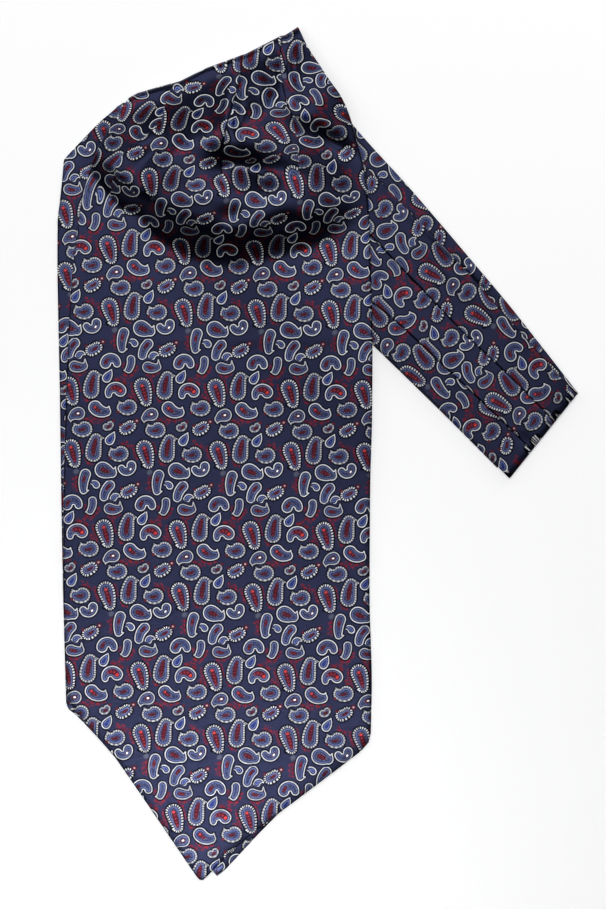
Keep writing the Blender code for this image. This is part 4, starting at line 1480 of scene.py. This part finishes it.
def stitch_tree(thread):
    """A tree with named inputs that turns paths into stitches of thread."""
    tree = bpy.data.node_groups.new("stitches", "GeometryNodeTree")
    tree.interface.new_socket("Paths", in_out="INPUT", socket_type="NodeSocketGeometry")
    for name in STITCH_INPUTS:
        tree.interface.new_socket(name, in_out="INPUT", socket_type="NodeSocketFloat")
    tree.interface.new_socket("Stitches", in_out="OUTPUT", socket_type="NodeSocketGeometry")
    start = Wire(tree, tree.nodes.new("NodeGroupInput").outputs["Paths"])
    pitch, length, thick, uneven = (start.other(name) for name in STITCH_INPUTS)
    curves = start.node("GeometryNodeMeshToCurve", {}, {"Mesh": start})
    steps = start.node("GeometryNodeResampleCurve", {"mode": "LENGTH"}, {"Curve": curves, "Length": pitch})
    bar = start.node("GeometryNodeMeshUVSphere", {},
                     {"Segments": STITCH_SEGMENTS, "Rings": STITCH_RINGS, "Radius": 0.5})
    way = start.node("GeometryNodeInputTangent", {}, {})
    turn = start.node("FunctionNodeAlignRotationToVector", {"axis": "X"}, {"Vector": way})
    chance = start.node("FunctionNodeRandomValue", {"data_type": "FLOAT"},
                        {2: 1 - uneven, 3: 1 + uneven, "Seed": STITCH_SEED}, 1)
    size = start.node("ShaderNodeCombineXYZ", {}, {0: length * chance, 1: thick, 2: thick})
    laid = start.node("GeometryNodeInstanceOnPoints", {},
                      {"Points": steps, "Instance": bar, "Rotation": turn, "Scale": size})
    real = start.node("GeometryNodeRealizeInstances", {}, {0: laid})
    dressed = start.node("GeometryNodeSetMaterial", {}, {"Geometry": real, "Material": thread})
    end = tree.nodes.new("NodeGroupOutput")
    tree.links.new(dressed.socket, end.inputs["Stitches"])
    return tree


def thread_material():
    """Twisted silk thread, a little lighter than the ground."""
    material = bpy.data.materials.new("stitch_thread")
    material.use_nodes = True
    tree = material.node_tree
    shader = tree.nodes["Principled BSDF"]
    x, y, z = Wire(tree, None).node("ShaderNodeTexCoord", {}, {}, 3).parts()
    twist = wave((x + y + z) * (1 / MM), TWIST_PITCH) * (2 / TWIST_PITCH)
    colour = twist.blend(NAVY, THREAD_LIGHT)
    bump = twist.node("ShaderNodeBump", {}, {"Strength": 0.4, "Distance": 0.1 * MM, "Height": twist})
    for socket, wire in (("Base Color", colour), ("Roughness", 0.42 + twist * 0.1), ("Normal", bump)):
        tree.links.new(wire.socket, shader.inputs[socket])
    return material


print("stitch inputs:", {name: round(value, 5) for name, value in STITCH_INPUTS.items()})

# %% Lay the stitches
PATH_ROWS = 3        # a path keeps this many rows away from the ends of its column


def column_path(rows, column, first):
    """Points on the outer face of one column of a shell, in metres."""
    lift = (rows.thickness / 2 + rows.lift)[first:-PATH_ROWS, column, None]
    return MM * (rows.centre[first:-PATH_ROWS, column] + rows.normal[first:-PATH_ROWS, column] * lift)


def add_stitches(paths):
    """Make one plain mesh of the stitches along all the paths."""
    mesh = bpy.data.meshes.new("stitch_paths")
    points = np.concatenate(paths)
    ends = np.cumsum([len(path) for path in paths])
    edges = [(i, i + 1) for i in range(len(points) - 1) if i + 1 not in ends]
    mesh.from_pydata(points.tolist(), edges, [])
    guide = bpy.data.objects.new("stitch_paths", mesh)
    bpy.context.scene.collection.objects.link(guide)
    modifier = guide.modifiers.new("stitches", "NODES")
    modifier.node_group = stitch_tree(thread_material())
    for item in modifier.node_group.interface.items_tree:
        if item.name in STITCH_INPUTS:
            modifier[item.identifier] = STITCH_INPUTS[item.name]
    evaluated = guide.evaluated_get(bpy.context.evaluated_depsgraph_get())
    plain = bpy.data.meshes.new_from_object(evaluated)
    guide.modifiers.remove(modifier)
    bpy.data.objects.remove(guide)
    plain.name = "slip_stitches"
    stitches = bpy.data.objects.new("slip_stitches", plain)
    bpy.context.scene.collection.objects.link(stitches)
    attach(stitches, BODY)
    print("stitches:", len(plain.polygons), "faces")
    return stitches


edge = len(EDGE_STEPS) - 1
slip_stitches = add_stitches([
    column_path(front_rows, edge, ROLL_ROWS + 2),
    column_path(front_rows, -1 - edge, ROLL_ROWS + 2),
    column_path(upper_rows, edge, 0)[:-BAND_ROLL_ROWS],
])

# %% [markdown]
# ## The table and the light
#
# The cravat lies on white paper. One wide light over its upper end gives the satin its sheen and
# leaves the curved slope dark. Two windows beyond it and a small lamp over the points fill in, and
# the walls are light only near the ground. An even sky would light every slope alike, and the folds
# would be gone.

# %% The table
FLOOR_SIZE = 6.0
FLOOR_DROP = 0.0002      # the paper lies this far below the cloth


def add_floor():
    """White paper, which glows a little so that it stays white under the weak lights."""
    mesh = bpy.data.meshes.new("floor")
    half = FLOOR_SIZE / 2
    corners = [(x * half, y * half, -FLOOR_DROP) for x, y in ((-1, -1), (1, -1), (1, 1), (-1, 1))]
    mesh.from_pydata(corners, [], [(0, 1, 2, 3)])
    floor = bpy.data.objects.new("floor", mesh)
    material = bpy.data.materials.new("paper")
    material.use_nodes = True
    shader = material.node_tree.nodes["Principled BSDF"]
    shader.inputs["Base Color"].default_value = (0.72, 0.72, 0.73, 1.0)
    shader.inputs["Roughness"].default_value = 0.9
    shader.inputs["Specular IOR Level"].default_value = 0.1
    shader.inputs["Emission Color"].default_value = (1.0, 1.0, 1.0, 1.0)
    shader.inputs["Emission Strength"].default_value = 0.57
    mesh.materials.append(material)
    bpy.context.scene.collection.objects.link(floor)
    return floor


floor = add_floor()
print("table:", floor.name, FLOOR_SIZE, "m across")

# %% The lights
Light = namedtuple("Light", "name place aim size power spread")
LIGHTS = (               # places and sizes in metres, power in watts, spread in degrees
    Light("overhead", (-0.1, 0.36, 1.5), (0.0, 0.0, 0.0), (2.0, 0.82), 11.4, 180.0),
    Light("window", (-0.9, 0.8, 0.5), (-0.05, 0.0, 0.0), (0.6, 0.6), 2.4, 180.0),
    Light("far_window", (0.5, 0.95, 0.45), (0.05, 0.0, 0.0), (0.6, 0.6), 3.2, 180.0),
    Light("low_grid", (-0.10, -0.36, 0.9), (-0.1, -0.27, 0.0), (0.3, 0.3), 0.14, 34.0),
)


def add_light(light):
    """Hang one rectangular lamp, and turn it to its aim."""
    data = bpy.data.lights.new(light.name, "AREA")
    data.shape = "RECTANGLE"
    data.size, data.size_y = light.size
    data.energy = light.power
    data.spread = math.radians(light.spread)
    lamp = bpy.data.objects.new(light.name, data)
    lamp.location = light.place
    lamp.rotation_euler = (Vector(light.aim) - Vector(light.place)).to_track_quat("-Z", "Y").to_euler()
    bpy.context.scene.collection.objects.link(lamp)


for light in LIGHTS:
    add_light(light)
print("lights:", [light.name for light in LIGHTS])

# %% The room
WALL_HEIGHT, WALL_SOFT = 0.12, 0.10      # sine of the height up to which the walls are light
WALL_LIGHT, ROOM_DARK = 0.18, 0.01


def add_world():
    """A dark room whose walls are light near the ground."""
    world = bpy.data.worlds.new("studio")
    world.use_nodes = True
    tree = world.node_tree
    background = tree.nodes["Background"]
    background.inputs["Color"].default_value = (0.93, 0.95, 1.0, 1.0)
    start = Wire(tree, None)
    height = start.node("ShaderNodeTexCoord", {}, {}).parts()[2]
    low = height.math("ABSOLUTE", height).below(WALL_HEIGHT, WALL_SOFT)
    tree.links.new((ROOM_DARK + low * (WALL_LIGHT - ROOM_DARK)).socket, background.inputs["Strength"])
    bpy.context.scene.world = world


add_world()
bpy.context.scene.view_settings.view_transform = "Standard"
print("walls:", WALL_LIGHT, "up to a sine of", WALL_HEIGHT)
